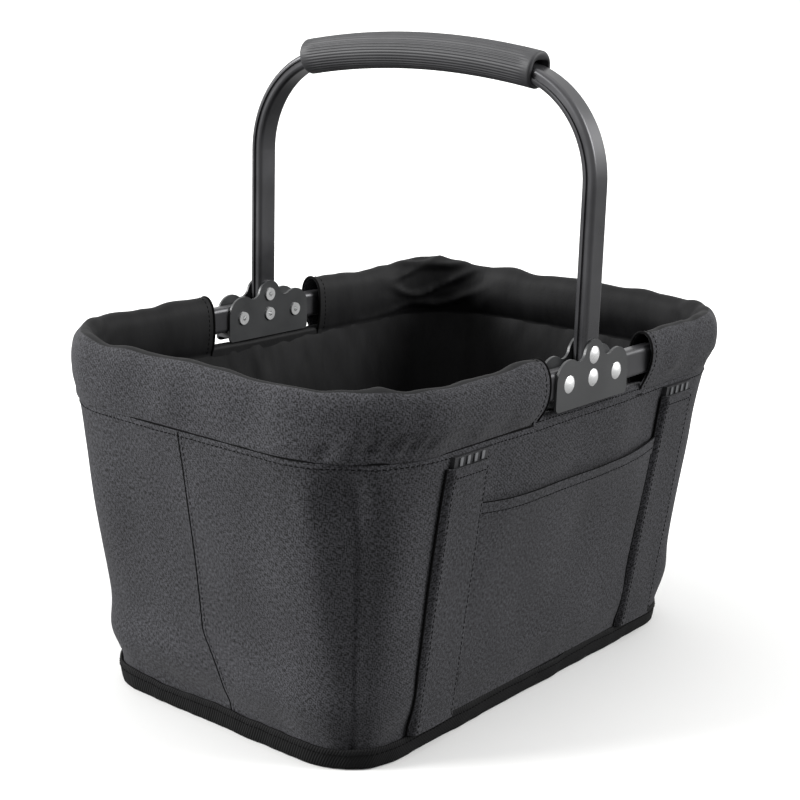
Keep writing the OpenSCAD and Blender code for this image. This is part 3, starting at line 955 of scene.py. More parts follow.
    def wall(self, side: Side, name: str, low: float, inset: float, slot: str, node: str,
             material: Material, thickness: float) -> None:
        """One half of a wall: the U round the end, and its share of the middle at front and rear.

        Args:
            side: Which half.
            name: First word of the pieces' names.
            low: Height of the lower edge.
            inset: How far inside the outer face; above zero the sheet is the lining.
            slot: The record's material slot; not used.
            node: The CAD node that the pieces stand for.
            material: Its finish.
            thickness: Thickness of the cloth.
        """
        s = self.size
        z = np.linspace(low, s.seam_z, self.rows)[:, None]
        points, normals = self.side_points(side, z, inset)
        shape = self.hung(points, normals) if inset else self.raised(points, normals)
        facing = -1 if inset else 1
        made = piece(f"{name}_wall_{side.label}", grid(shape, facing * normals), material)
        thicken(made, thickness)
        self.spread(made, side)
        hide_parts(node)
        strips = []
        x = side.value * np.linspace(0, s.strip, 28)[None, :]
        for rear in (False, True):
            flat, facing_out = self.flat_points(x, z, rear, inset)
            strip = self.hung(flat, facing_out) if inset else self.raised(flat, facing_out)
            strips.append(grid(strip, facing * facing_out, offset=(0.4 + 0.2 * rear, 0)))
        middle = piece(f"{name}_middle_{side.label}", Patch.joined(strips), material)
        thicken(middle, thickness)
        self.spread(middle, side, middle=True)

    def hem(self, side: Side) -> None:
        """The folded edge under a hinge: a band over the tops of cloth and lining, with stitches.

        Its outer half is the outer cloth, and its inner half the lining.

        Args:
            side: Which half of the rim it lies under.
        """
        s = self.size
        over = np.array([[1.3, -2.6], [1.9, -0.4], [1.9, 2.4], [0.8, self.hem_h / MM - 0.5],
                         [-1.6, self.hem_h / MM], [-4.2, self.hem_h / MM - 0.6],
                         [-5.5, 2.4], [-5.6, 0.4], [-5.5, -2.6]]) * MM
        profile = spline(over, 33)
        split = 15
        outer, inner, rows = [], [], []
        for rear in (False, True):
            reach = self.sleeve_starts[(side, 1 if rear else -1)] + 4 * MM
            x = side.value * np.linspace(0, reach, 30)[None, :]
            z = s.seam_z + profile[:, 1:] + 0 * x
            base, normals = self.flat_points(x, np.full_like(z, s.seam_z), rear)
            wave = 0.3 * MM * ripple(base, 31, 0.035)
            points = base + normals * (profile[:, :1] + wave)[..., None]
            points[..., 2] = z + 0.35 * MM * ripple(base, 32, 0.05)
            away = normals * (profile[:, :1] + 2.2 * MM)[..., None]
            away[..., 2] = profile[:, 1:] - 1 * MM
            outer.append(grid(points[:split + 1], away[:split + 1]))
            inner.append(grid(points[split:], away[split:]))
            rows.append(stitches(points[6], normals[6]))
            # near-black cord along the hem's lower edge: a painted shadow line under the fold, over
            # its real edge
            rows.append(cord(points[0], normals[0], 0.7 * MM, 0.9 * MM))
        for name, halves, material, slot in (
                ("outer", outer, self.looks.outer, "outer_fabric"),
                ("inner", inner, self.looks.lining, "lining_fabric")):
            band = piece(f"hem_{name}_{side.label}", Patch.joined(halves), material)
            thicken(band, self.hem_cloth)
            self.spread(band, side, middle=True)
            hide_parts("front_hem", "rear_hem")
        self.spread(sewn(f"hem_stitches_{side.label}", rows, self.looks), side, middle=True)

    def seams(self, side: Side) -> None:
        """Seams of one half: the fold and stitches under the rim, and the end wall's seam. The fold
        and the end seam are near-black cords, partly painted shadow lines.

        Args:
            side: Which half.
        """
        s = self.size
        rows = []
        for drop in (0.2 * MM, self.seam_drop):
            points, normals = self.side_points(side, np.full((2, 1), s.seam_z - drop))
            rows.append((self.raised(points, normals)[0], normals[0]))
        z = np.linspace(self.binding_h - 1 * MM, s.seam_z - 1 * MM, 110)[:, None]
        points, normals = self.side_points(side, z)
        bend = Bend(side)
        column = bend.straight + bend.corner + bend.end // 2
        seam = self.raised(points, normals)[:, column]
        seam_normals = normals[:, column]
        beside = seam - np.array([0, self.end_stitches, 0])
        # the fold under the rim and the end seam are near-black cords: painted shadow lines over
        # their real ridges
        self.spread(sewn(f"wall_seams_{side.label}", [
            cord(*rows[0], 1.3 * MM, 1.2 * MM), stitches(*rows[1]),
            cord(seam, seam_normals, 0.9 * MM, 0.6 * MM),
            stitches(beside, seam_normals, width=0.35 * MM, lift=0.12 * MM)], self.looks), side)
        x = side.value * np.linspace(0, s.strip, 24)[None, :]
        parts = []
        for rear in (False, True):
            points, normals = self.flat_points(x, np.full((1, 1), s.seam_z - self.seam_drop), rear)
            parts.append(stitches(self.raised(points, normals)[0], normals[0]))
        self.spread(sewn(f"middle_seams_{side.label}", parts, self.looks), side, middle=True)

    def loop(self, z: Array, inset: float, bends: tuple[int, int, int]) -> tuple[Array, Array]:
        """The bag's whole outline at some heights, as a closed ring of points with its normals.

        Args:
            z: Heights, shape (rows, 1).
            inset: How far inside the outer face.
            bends: Columns in each straight, corner and end.

        Returns:
            Points and horizontal normals, each (rows, columns, 3).
        """
        s = self.size
        halves = []
        for side in (Side.RIGHT, Side.LEFT):
            xy, n = Bend(side, *bends).points(s.half_x(z) - inset, s.half_y(z) - inset,
                                              s.corner(z) - inset, 0.0, 0.0)
            full = np.broadcast_to(z[:, :, None], (*xy.shape[:2], 1))
            halves.append((np.concatenate([xy, full], axis=2),
                           np.concatenate([n, 0 * full], axis=2)))
        (right, right_n), (left, left_n) = halves
        return (np.concatenate([right[:, :-1], left[:, :0:-1]], axis=1),
                np.concatenate([right_n[:, :-1], left_n[:, :0:-1]], axis=1))

    def binding(self) -> None:
        """Webbing round the foot: a closed band 13 mm high, a little wavy, and its stitches."""
        profile = np.array([[0.35, 0.3], [1.4, 0.2], [2.1, 0.9], [2.3, 3.5], [2.35, 6.5],
                            [2.2, 9.5], [2.0, 12.0], [1.5, 12.9], [0.7, 13.0], [0.2, 12.4],
                            [0.3, 6.0]]) * MM
        points, normals = self.loop(profile[:, 1:], 0.0, (60, 36, 70))
        wave = 0.5 * MM * ripple(points, 41, 0.045) + 0.22 * MM * ripple(points, 42, 0.014)
        shape = points + normals * (profile[:, :1] + np.maximum(wave, -0.25 * MM))[..., None]
        top = smoothstep((profile[:, 1:] - 6 * MM) / (6 * MM))
        shape[..., 2] += top * (0.7 * MM * ripple(points, 43, 0.06)
                                + 0.3 * MM * ripple(points, 44, 0.02))
        away = normals * (profile[:, :1] - 1.2 * MM)[..., None]
        away[..., 2] += 0.2 * (profile[:, 1:] - 6.5 * MM)
        band = piece("foot_webbing", grid(shape, away, ring_rows=True, ring_cols=True),
                     self.looks.webbing)
        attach(band, ROOT)
        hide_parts("bottom_binding")
        row = np.concatenate([shape[5], shape[5, :1]])
        up = np.concatenate([normals[5], normals[5, :1]])
        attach(sewn("webbing_stitches", [stitches(row, up, pitch=3.0 * MM, lift=0.3 * MM)],
                     self.looks), ROOT)

    def disc(self, z: float, inset: float, rings: int, relief: float, seed: int,
             up: float) -> Patch:
        """A flat panel of the bag's outline: rings scaled from the outline to near its middle.

        Args:
            z: Its height.
            inset: How far inside the outer cloth.
            rings: How many rings.
            relief: Height of its slow unevenness.
            seed: Seed of the unevenness.
            up: 1 if it faces up, -1 if it faces down.

        Returns:
            The patch.
        """
        outline, _ = self.loop(np.full((1, 1), z), inset, (24, 16, 30))
        share = np.linspace(1, 0, rings)[:, None] ** 0.8
        share = np.maximum(share, 0.0005)[..., None]
        points = np.concatenate([outline[..., :2] * share,
                                 np.full((rings, outline.shape[1], 1), z)], axis=2)
        points[..., 2] += relief * ripple(points, seed, 0.09) * (1 - share[..., 0] ** 4)
        made = grid(points, np.array([0, 0, up]), ring_cols=True)
        made.uvs = points.reshape(-1, 3)[made.faces.ravel()][:, :2]
        return made

    def floor(self) -> None:
        """The lining's floor and the cloth panel under the bag."""
        for name, patch, material, slot, thickness in (
                ("lining_floor", self.disc(6.0 * MM, 5.4 * MM, 30, 0.25 * MM, 51, 1),
                 self.looks.lining, "lining_fabric", self.lining_cloth),
                ("bottom_cloth", self.disc(0.1 * MM, 0.4 * MM, 24, 0.0, 52, -1),
                 self.looks.outer, "outer_fabric", self.bottom_cloth)):
            sheet = piece(name, patch, material)
            thicken(sheet, thickness)
            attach(sheet, ROOT)
            if name == "bottom_cloth":
                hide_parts("bottom_panel")

    def foam(self) -> None:
        """Foam in each wall: a flat sheet with softened edges, in the place of its solid."""
        for name in ("front_pad", "rear_pad", "left_pad", "right_pad"):
            eased_copy(name, f"{name}_foam", 0.6 * MM, self.looks.foam)

    def build(self) -> None:
        """Builds every piece of the bag."""
        for side in Side:
            self.wall(side, "outer", self.foot_gap, 0.0, "outer_fabric", "bag_shell",
                      self.looks.outer, self.cloth)
            self.wall(side, "lining", self.lining_foot, self.lining_in, "lining_fabric",
                      "bag_lining", self.looks.lining, self.lining_cloth)
            self.hem(side)
            self.seams(side)
        self.binding()
        self.floor()
        self.foam()


def eased_copy(node: str, name: str, width: float, material: Material) -> Object:
    """Copies a CAD node, closes its mesh and eases its sharp edges with a small round.

    Args:
        node: The CAD node that the copy stands for.
        name: The new piece's name.
        width: Width of the round.
        material: Its finish.

    Returns:
        The new piece, which rides on the fixed body.
    """
    mesh = frame["nodes"][node].data.copy()
    mesh.name = name
    work = bmesh.new()
    work.from_mesh(mesh)
    bmesh.ops.remove_doubles(work, verts=work.verts, dist=0.002 * MM)
    work.to_mesh(mesh)
    work.free()
    mesh.materials.clear()
    mesh.materials.append(material)
    mesh.polygons.foreach_set("use_smooth", np.zeros(len(mesh.polygons), bool))
    made = bpy.data.objects.new(name, mesh)
    bpy.context.scene.collection.objects.link(made)
    ease = made.modifiers.new("eased_edges", "BEVEL")
    ease.width = width
    ease.segments = 2
    ease.limit_method = "ANGLE"
    ease.angle_limit = math.radians(40)
    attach(made, ROOT)
    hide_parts(node)
    LOG.info("%s: %d faces before its edges are eased", name, len(mesh.polygons))
    return made


# ---------------------------------------------------------------- front of the bag


@dataclass
class Front:
    """What is sewn on the front wall: the pocket and the two slat channels."""

    bag: Bag
    looks: Finishes
    pocket_low: float = 13.2 * MM
    pocket_high: float = 139.5 * MM
    corner_rise: float = 2.5 * MM
    channel_low: float = 13.2 * MM
    channel_high: float = 168.4 * MM
    pocket_cut: tuple[float, float] = (0.178, 0.14)
    channel_cut: tuple[float, float] = (0.043, 0.156)

    def channel_middle(self, z: Array) -> Array:
        """Distance of a channel's middle line from x = 0 at a height."""
        high = self.channel_high - self.channel_low
        return 105.6 * MM + 2.4 * MM * (z - self.channel_low) / high

    def channel_half(self, z: Array) -> Array:
        """Half width of a channel, which narrows upwards."""
        high = self.channel_high - self.channel_low
        return 19.3 * MM - 2.0 * MM * (z - self.channel_low) / high

    def pocket(self) -> None:
        """The pocket: cloth that leaves the wall more and more towards its mouth, with a hem."""
        a = np.linspace(-1, 1, 100)[None, :]
        t = np.linspace(0, 1, 70)[:, None]
        top = self.pocket_high + self.corner_rise * a ** 4
        z = self.pocket_low + t * (top - self.pocket_low)
        half = self.channel_middle(z) - self.channel_half(z) + 1.2 * MM
        base, normals = self.bag.flat_points(a * half, z, rear=False)
        gape = (0.4 + 2.6 * t ** 2.2) * MM * (1 - a ** 6)
        hem = 0.5 * MM * smoothstep((z - top + 11 * MM) / (1.6 * MM))
        drape = 0.6 * MM * ripple(base, 61, 0.06) * (1 - a ** 4) * t
        shape = self.bag.raised(base, normals, 1.25 * MM + gape + hem + drape)
        made = piece("pocket_cloth", grid(shape, normals), self.looks.outer)
        thicken(made, self.bag.cloth)
        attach(made, ROOT)
        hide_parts("front_pocket")
        row = shape[-1] + np.array([0, 0, -5.8 * MM])
        row[:, 1] = shape[-4, :, 1]
        # near-black cord along the pocket's mouth: a painted shadow where the mouth gapes, over the
        # real edge of its hem
        mouth = shape[-1] + np.array([0, 0.6 * MM, 0.1 * MM])
        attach(sewn("pocket_seams", [stitches(row, normals[-4], pitch=3.0 * MM, width=0.5 * MM),
                                      cord(mouth, normals[-1])], self.looks), ROOT)

    def channel(self, side: Side) -> None:
        """One channel: a strip that curves down to the wall at its edges and stands over the slat.

        Its height over the wall is a smooth step over 4 mm from each edge up to a plateau. It
        stands on the plain taper, where the stiff slat holds it, and not on the wavy cloth.

        Args:
            side: Which channel.
        """
        a = np.linspace(-1, 1, 56)[None, :]
        z = np.linspace(self.channel_low, self.channel_high, 90)[:, None]
        half = self.channel_half(z)
        x = side.value * self.channel_middle(z) + a * half
        base, normals = self.bag.flat_points(x, z, rear=False)
        inside = (1 - np.abs(a)) * half
        rise = smoothstep((inside + 1.0 * MM) / (4.4 * MM))
        sag = 0.3 * MM * ripple(base, 63 + side.value, 0.04, squash=(1, 1, 0.5))
        hem = 0.35 * MM * smoothstep((z - self.channel_high + 9 * MM) / (1.5 * MM))
        wall = np.maximum(self.bag.lift(base, normals), 0)
        skirt = wall * (1 - rise) + 0.5 * MM
        shape = base + normals * (skirt + (4.9 * MM + sag + hem) * rise)[..., None]
        made = piece(f"channel_cloth_{side.label}", grid(shape, normals), self.looks.outer)
        thicken(made, self.bag.cloth)
        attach(made, ROOT)
        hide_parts(f"slat_channel_{side.label}")
        rows = []
        # near-black cords along both edges: painted shadow lines where the strip meets the wall,
        # over its real seam ridges
        for edge, step in ((0, 6), (-1, -7)):
            rows.append(cord(shape[:, edge], normals[:, edge], 1.3 * MM, 1.3 * MM))
            rows.append(stitches(shape[:, step], normals[:, step], width=0.4 * MM, lift=0.15 * MM))
        rows.append(stitches(shape[-4, 6:-6], normals[-4, 6:-6], pitch=2.6 * MM, length=2.0 * MM))
        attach(sewn(f"channel_seams_{side.label}", rows, self.looks), ROOT)

    def slat(self, side: Side) -> None:
        """One slat: dark, with the flutes on the face of its head painted paler, a painted
        highlight where they catch the light.

        Args:
            side: Which slat.
        """
        made = eased_copy(f"slat_{side.label}", f"stiffener_{side.label}", 0.25 * MM,
                          self.looks.slat)
        made.data.materials.append(self.looks.flute)
        middles = np.empty(len(made.data.polygons) * 3)
        made.data.polygons.foreach_get("center", middles)
        middles = middles.reshape(-1, 3)
        # the head's forward faces get the paler finish: a painted highlight on the flutes
        out = -middles[:, 1] - self.bag.size.half_y(middles[:, 2])
        flutes = (middles[:, 2] > self.channel_high + 0.5 * MM) & (out > 4.0 * MM)
        made.data.polygons.foreach_set("material_index", flutes.astype(np.int32))

    def build(self) -> None:
        """Builds the pocket, the channels and the slats in them."""
        self.pocket()
        for side in Side:
            self.channel(side)
            self.slat(side)


# ---------------------------------------------------------------- sleeves


@dataclass(frozen=True)
class Tuck:
    """A small pinch in the band. x is the distance along the basket from its middle. All in mm."""

    x: float
    y: float
    rise: float  # over the seam
    width: float
    depth: float


TUCKS = (Tuck(170, -112, 8, 3.8, 2.4), Tuck(161, -119, 9, 4.4, 3.2), Tuck(152, -124, 7, 3.8, 2.8),
         Tuck(143, -127, 8, 3.6, 2.0), Tuck(181, -94, 7, 4.4, 1.6), Tuck(150, 122, 7, 3.8, 2.2),
         Tuck(164, 116, 6, 3.8, 2.2))


@dataclass
class Sleeve:
    """Cloth round one rim half: the outer face up to the crest, and the smooth inner face."""

    side: Side
    bag: Bag
    looks: Finishes
    rows: int = 60
    skin: float = 1.0 * MM
    girth_ease: float = 1.05  # cut width of the band over its girth
    run_ease: float = 1.03  # cut length of the band over its crest
    tuck_lean: float = 0.8
    tuck_tall: float = 7 * MM
    end_stitches: float = 4.6 * MM  # from the band's end to its row of stitches

    def section(self) -> Array:
        """The sleeve's section, from the outer seam over the crest to the lining's top.

        Returns:
            Columns: out from the tube's middle, up from it, and the share of the way to the
            bag's seam outline.
        """
        foot = -(self.bag.size.pivot_z - self.bag.size.seam_z) / MM
        rows = np.array([
            [0.6, foot - 0.4, 1.0], [1.4, foot + 1.2, 0.96], [3.0, foot + 4.5, 0.72],
            [5.8, -9.0, 0.36],
            [7.4, -3.0, 0.1], [7.8, 3.5, 0.0], [6.9, 9.5, 0.0], [4.2, 14.2, 0.0], [0.4, 16.2, 0.0],
            [-3.8, 15.0, 0.0], [-7.0, 10.6, 0.0], [-8.3, 4.0, 0.0], [-8.6, -3.0, 0.06],
            [-8.0, -9.0, 0.3], [-6.6, foot + 4.0, 0.75], [-5.4, foot + 1.0, 0.96],
            [-5.2, foot - 0.8, 1.0]])
        curve = spline(rows, self.rows)
        curve[:, :2] *= MM
        return curve

    def surface(self) -> tuple[Array, Array]:
        """The whole section carried along the rim.

        Each point is the tube's middle line, moved by the section's out and up, and by its
        share of the way to the bag's seam outline. Gathers, the slack near the hinges and the
        bunch at the far right corner are then added along the surface's normals.

        Returns:
            Points (rows, columns, 3) and unit normals.
        """
        s = self.bag.size
        front = self.bag.sleeve_starts[(self.side, -1)]
        rear = self.bag.sleeve_starts[(self.side, 1)]
        bend = Bend(self.side, straight=44, corner=52, end=64)
        one = np.ones((1, 1))
        rim, n = bend.points(s.rim_x * one, s.rim_y * one, s.rim_r * one, front, rear)
        seam, _ = bend.points(s.top_x * one, s.top_y * one, s.top_r * one, front, rear)
        curve = self.section()
        out, up, share = (curve[:, k][:, None] for k in range(3))
        xy = rim + share[..., None] * (seam - rim) + out[..., None] * n
        z = s.pivot_z + up + 0 * xy[..., 0]
        points = np.concatenate([xy, z[..., None]], axis=2)
        return self.gathered(points, np.broadcast_to(n, xy.shape), up, out)

    def gathered(self, points: Array, n: Array, up: Array, out: Array) -> tuple[Array, Array]:
        """Adds slack and gathers to the plain sleeve.

        Args:
            points: Its points, shape (rows, columns, 3).
            n: Outward directions from the rim, likewise.
            up: The section's height at each row.
            out: The section's reach outwards at each row.

        Returns:
            The gathered points and the plain sleeve's unit normals.
        """
        s = self.bag.size
        x, y = points[..., 0], points[..., 1]
        high = smoothstep((up + 6 * MM) / (20 * MM))
        inner = smoothstep((3 * MM - out) / (10 * MM))
        rear = smoothstep(y / (60 * MM))
        corner = np.clip(1 - np.abs(n[..., 0] ** 2 - n[..., 1] ** 2), 0, 1)
        hinge = np.abs(x) - self.bag.sleeve_starts[(self.side, 1)]
        points = points.copy()
        lift = 2.0 * MM if self.side is Side.RIGHT else 1.2 * MM
        points[..., 2] += high * rear * lift * np.exp(-np.clip(hinge, 0, None) / (26 * MM))
        points[..., 2] += high * 0.35 * MM * (ripple(points, 71, 0.08) + ripple(points, 77, 0.02))
        if self.side is Side.RIGHT:
            bunch = bell(x - 158 * MM, 26 * MM) * bell(y - 106 * MM, 24 * MM)
            points[..., 2] += high * bunch * 5.5 * MM
        slack = smoothstep((s.pivot_z - 6 * MM - points[..., 2]) / (10 * MM)) * (1 - inner)
        normals = grid_normals(points)
        away = np.concatenate([n * out[..., None], (up * np.ones_like(x))[..., None]], axis=2)
        normals *= np.sign((normals * away).sum(2, keepdims=True).mean())
        seamward = bell(points[..., 2] - s.seam_z, 4 * MM)
        gathers = ripple(points, 72, 0.019, squash=(1, 1, 0.35)) * (0.25 + 0.9 * corner)
        creases = 1 - np.abs(ripple(points, 73, 0.034, waves=5)) * 1.6
        amount = 0.75 * MM * gathers * (1 - 0.5 * seamward)
        amount += 0.8 * MM * ripple(points, 74, 0.055, squash=(1, 1, 0.5)) * (1 - seamward)
        amount += inner * corner * 1.3 * MM * np.clip(creases, -0.5, 1)
        if self.side is Side.RIGHT:
            star = 1 - 2.2 * np.abs(ripple(points, 75, 0.032, waves=4))
            amount += inner * bunch * 3.0 * MM * np.clip(star, -1.2, 1)
        amount += 0.5 * MM * slack * ripple(points, 76, 0.03, squash=(1, 1, 0.4))
        amount = np.clip(amount, -0.8 * MM, 3.4 * MM) * (1 - 0.85 * seamward)
        amount = amount - (1 - inner) * self.tucks(points)
        return points + normals * amount[..., None], normals

    def tucks(self, points: Array) -> Array:
        """Small slanted tucks where the band is gathered onto the seam.

        Each is a bell across its width and along its height, and it leans with its rise.

        Args:
            points: The sleeve's points.

        Returns:
            How deep the tucks are there.
        """
        s = self.bag.size
        deep = np.zeros(points.shape[:2])
        for tuck in TUCKS:
            above = points[..., 2] - s.seam_z - tuck.rise * MM
            middle = self.side.value * (tuck.x * MM - self.tuck_lean * above)
            near = np.hypot(points[..., 0] - middle, points[..., 1] - tuck.y * MM)
            deep += tuck.depth * MM * bell(near, tuck.width * MM) * bell(above, self.tuck_tall)
        return deep

    def build(self) -> None:
        """Builds the outer face, the inner face, and the near-black folds, partly painted shadow
        lines, and the stitches at both ends.
        """
        points, normals = self.surface()
        crest = int(self.rows * 0.48)
        outer = piece(f"sleeve_outer_{self.side.label}",
                      grid(points[:crest + 1], normals[:crest + 1], offset=(0.2, 0.1)),
                      self.looks.outer)
        inner = piece(f"sleeve_inner_{self.side.label}", grid(points[crest:], normals[crest:]),
                      self.looks.lining)
        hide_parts(f"rim_sleeve_{self.side.label}")
        for made, part in ((outer, points[:crest + 1]), (inner, points[crest:])):
            thicken(made, self.skin)
            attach(made, self.side.body)
        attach(self.ends(points, normals), self.side.body)

    def ends(self, points: Array, normals: Array) -> Object:
        """The fold at each end of the sleeve, a near-black cord that is partly painted shadow at
        the end's opening, and the row of stitches near it.

        Args:
            points: The sleeve's points, shape (rows, columns, 3).
            normals: Its unit normals.

        Returns:
            The piece of thread.
        """
        parts = []
        step = float(np.linalg.norm(points[10, 1] - points[10, 0]))
        last = points.shape[1] - 1
        for front in (True, False):
            edge = 0 if front else last
            # near-black cord along the end: a painted shadow line at the sleeve's opening, over its
            # real fold
            parts.append(cord(points[:, edge], normals[:, edge], 1.5 * MM, 1.5 * MM))
            at = self.end_stitches / step
            low = int(at) if front else last - int(at)
            other = low + (1 if front else -1)
            share = at - int(at)
            path = points[:, low] * (1 - share) + points[:, other] * share
            parts.append(stitches(path[1:-1], normals[1:-1, low], pitch=3.0 * MM, length=2.1 * MM,
                                  width=0.45 * MM, lift=0.12 * MM))
        return sewn(f"sleeve_seams_{self.side.label}", parts, self.looks)


# ---------------------------------------------------------------- handle and hinges


@dataclass
class Grip:
    """The rubber grip: ribs along a shallow curve, smooth bands at its ends, a slot for the bow."""

    looks: Finishes
    curve: float = 520 * MM
    ribs: int = 38
    relief: float = 0.42 * MM
    band: float = 5.5 * MM
    bore_x: float = 7.8 * MM
    bore_z: float = 6.8 * MM
    bore_drop: float = 0.9 * MM

    def build(self) -> None:
        """Builds the grip.

        The outer radius is the grip's radius less a rib wave that fades out near the ends,
        where the last 1.2 mm also round off. The bore is a fourth-power ellipse. Outer skin,
        one end, bore and the other end make one closed surface.
        """
        low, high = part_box("handle_grip")
        radius = (high.x - low.x) / 2
        half = math.asin(high.y / (self.curve + radius))
        centre = high.z - radius - self.curve
        columns = self.ribs * 8
        theta = np.linspace(0, 2 * math.pi, columns, endpoint=False)
        arc = np.concatenate([[-1, -0.9975, -0.993, -0.987], np.linspace(-0.975, 0.975, 62),
                              [0.987, 0.993, 0.9975, 1]]) * half
        inset = (half - np.abs(arc)) * self.curve
        plain = smoothstep((inset - self.band) / (1.5 * MM))[:, None]
        rounded = 1.1 * MM * np.clip(1 - inset / (1.3 * MM), 0, 1)[:, None] ** 2
        wave = 0.5 - 0.5 * np.cos(self.ribs * theta)[None, :]
        uneven = 0.75 + 0.25 * np.sin(5 * theta + 1.0)[None, :]
        outer = radius - rounded - plain * self.relief * wave ** 1.5 * uneven
        shape = (np.abs(np.cos(theta) / self.bore_z) ** 4
                 + np.abs(np.sin(theta) / self.bore_x) ** 4) ** -0.25
        bore = np.broadcast_to(shape[None, :], outer.shape)
        skins = []
        for size, drop in ((outer, 0.0), (bore[::-1], self.bore_drop)):
            along = arc if drop == 0 else arc[::-1]
            up = size * np.cos(theta) - drop
            reach = self.curve + up
            skins.append(np.stack([size * np.sin(theta), reach * np.sin(along)[:, None],
                                   centre + reach * np.cos(along)[:, None]], axis=2))
        points = np.concatenate(skins)
        arch = centre + np.sqrt(np.maximum(self.curve ** 2 - points[..., 1] ** 2, 0))
        middle = np.stack([0 * points[..., 0], points[..., 1], arch], axis=2)
        away = points - middle
        away[len(arc):] *= -1
        made = piece("ribbed_grip", grid(points, away, ring_rows=True, ring_cols=True),
                     self.looks.grip)
        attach(made, ROOT)
        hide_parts("handle_grip")


@dataclass
class Metalwork:
    """Bow, rim tubes, hinge plates, rivets, adapter and what is hidden inside."""

    looks: Finishes

    def build(self) -> None:
        """Eases the plates' and the adapter's edges and dresses the other nodes."""
        for name in ("front_outer", "front_inner", "rear_outer", "rear_inner"):
            eased_copy(f"{name}_plate", f"hinge_plate_{name}", 0.3 * MM, self.looks.plate)
        eased_copy("rear_adapter", "bracket_adapter", 0.5 * MM, self.looks.plastic)
        plain = {
            "handle_bow": self.looks.tube, "rim_tube_left": self.looks.tube,
            "rim_tube_right": self.looks.tube, "handle_rivets": self.looks.rivet,
            "pivot_rivets": self.looks.rivet, "rear_bolts": self.looks.rivet,
            "rear_backing_plate": self.looks.mill, "handle_plugs": self.looks.plastic,
            "rim_bushes_left": self.looks.plastic, "rim_bushes_right": self.looks.plastic,
            "base_board": self.looks.plastic}
        for node, material in plain.items():
            for slot in frame["nodes"][node].material_slots:
                slot.material = material
            LOG.info("%s: dressed in %s", node, material.name)


# ---------------------------------------------------------------- studio


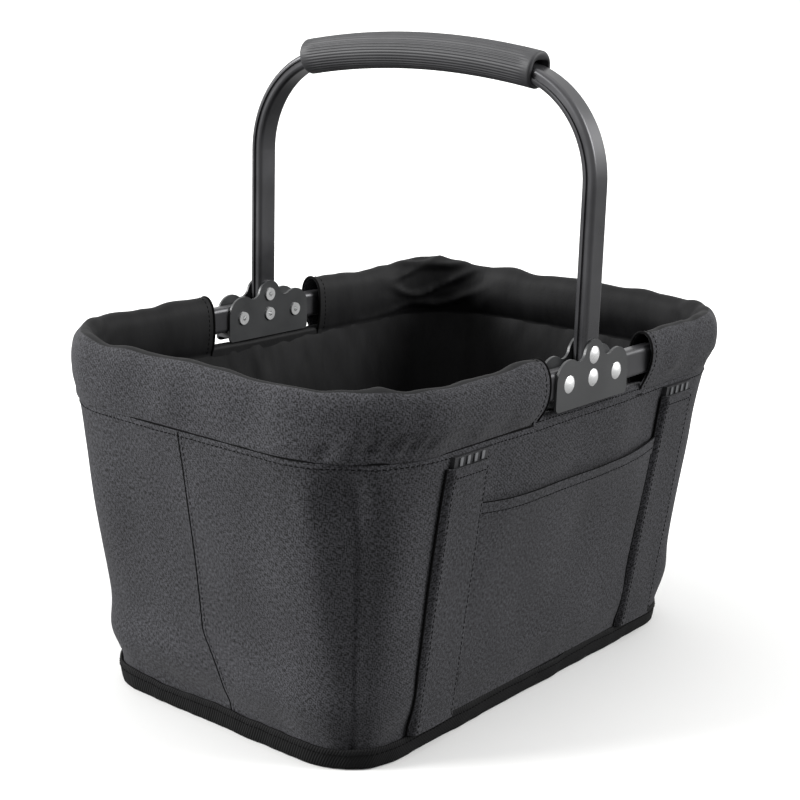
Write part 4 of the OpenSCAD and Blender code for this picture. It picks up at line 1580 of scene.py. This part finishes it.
@dataclass
class Studio:
    """Paper floor, soft lights and the camera."""

    lens: float = 71.1
    place: tuple[float, float, float] = (-0.7422, -0.5917, 0.4015)
    yaw: float = 38.9
    pitch: float = 14.3
    roll: float = 1.6
    bounce: float = 0.3  # share of light that the floor throws back
    surround: float = 0.34  # strength at which the surround lights matt surfaces
    shown: float = 1.05  # strength at which it shows to the camera and in reflections

    def floor(self) -> None:
        """A wide paper disc under the basket: rings of growing radius round a middle hole.

        The camera sees it as white paper. Every other ray meets a mid grey, so that the floor
        throws less light on the basket than white paper would.
        """
        angle = np.linspace(0, 2 * math.pi, 96, endpoint=False)
        reach = np.array([0.0005, 0.3, 1.0, 4.0, 16.0, 80.0])[:, None]
        points = np.stack([reach * np.cos(angle), reach * np.sin(angle),
                           np.full((6, 96), -0.0002)], axis=2)
        paper = Finishes.paper_finish()
        tree = paper.node_tree
        seen = add_node(tree, "ShaderNodeLightPath").outputs["Is Camera Ray"]
        dim = add_node(tree, "ShaderNodeBsdfDiffuse", links={"Color": (*[self.bounce] * 3, 1)})
        add_node(tree, "ShaderNodeMixShader", links={
            0: seen, 1: dim.outputs[0], 2: tree.nodes["Principled BSDF"].outputs[0]},
            into={0: tree.nodes["Material Output"].inputs["Surface"]})
        made = piece("studio_floor", grid(points, np.array([0, 0, 1]), ring_cols=True), paper)

    def lamp(self, name: str, toward: tuple[float, float, float], power: float,
             width: float) -> None:
        """Adds a distant soft light.

        Args:
            name: Its name.
            toward: Where it stands, as a direction from the basket.
            power: Its strength.
            width: The angle that it covers, in degrees; wider is softer.
        """
        light = bpy.data.lights.new(name, "SUN")
        light.energy = power
        light.angle = math.radians(width)
        made = bpy.data.objects.new(name, light)
        made.rotation_euler = Vector(toward).to_track_quat("Z", "Y").to_euler()
        bpy.context.scene.collection.objects.link(made)

    def lights(self) -> None:
        """A surround, a soft light from each side and one from above.

        The surround lights matt surfaces less than it shows to the camera and in reflections.
        """
        world = bpy.data.worlds.new("studio_surround")
        bpy.context.scene.world = world
        world.use_nodes = True
        back = world.node_tree.nodes["Background"]
        back.inputs["Color"].default_value = (1, 1, 1, 1)
        back.inputs["Strength"].default_value = self.surround
        bright = add_node(world.node_tree, "ShaderNodeBackground", links={
            "Color": (1, 1, 1, 1), "Strength": self.shown})
        soft = add_node(world.node_tree, "ShaderNodeLightPath").outputs["Is Diffuse Ray"]
        add_node(world.node_tree, "ShaderNodeMixShader", links={
            0: soft, 1: bright.outputs[0], 2: back.outputs[0]},
            into={0: world.node_tree.nodes["World Output"].inputs["Surface"]})
        self.lamp("left_softbox", (-0.75, 0.72, 0.42), 5.4, 28)
        self.lamp("right_softbox", (0.62, -0.75, 0.5), 3.3, 35)
        self.lamp("top_softbox", (0.1, 0.2, 1.0), 1.2, 60)

    def camera(self) -> None:
        """Puts the camera at its place, turned by yaw, pitch and roll."""
        yaw, pitch, roll = (math.radians(a) for a in (self.yaw, self.pitch, self.roll))
        ahead = np.array([math.cos(pitch) * math.cos(yaw), math.cos(pitch) * math.sin(yaw),
                          -math.sin(pitch)])
        right = np.cross(ahead, [0, 0, 1])
        right /= np.linalg.norm(right)
        up = np.cross(right, ahead)
        across = right * math.cos(roll) + up * math.sin(roll)
        upward = -right * math.sin(roll) + up * math.cos(roll)
        turned = np.eye(4)
        turned[:3] = np.stack([across, upward, -ahead, self.place], axis=1)
        data = bpy.data.cameras.new("camera")
        data.lens = self.lens
        data.sensor_width = 36
        data.clip_start, data.clip_end = 0.05, 200
        made = bpy.data.objects.new("camera", data)
        bpy.context.scene.collection.objects.link(made)
        made.matrix_world = Matrix(turned.tolist())
        bpy.context.scene.camera = made

    def build(self) -> None:
        """Builds the studio."""
        self.floor()
        self.lights()
        self.camera()
        bpy.context.scene.view_settings.view_transform = "Standard"


def main() -> None:
    logging.basicConfig(level=logging.INFO, format="%(name)s: %(message)s")
    looks = Finishes()
    Studio().build()
    bag = Bag(Measures.from_frame(), looks)
    bag.build()
    Front(bag, looks).build()
    for side in Side:
        Sleeve(side, bag, looks).build()
    Grip(looks).build()
    Metalwork(looks).build()


if __name__ == "__main__":
    main()
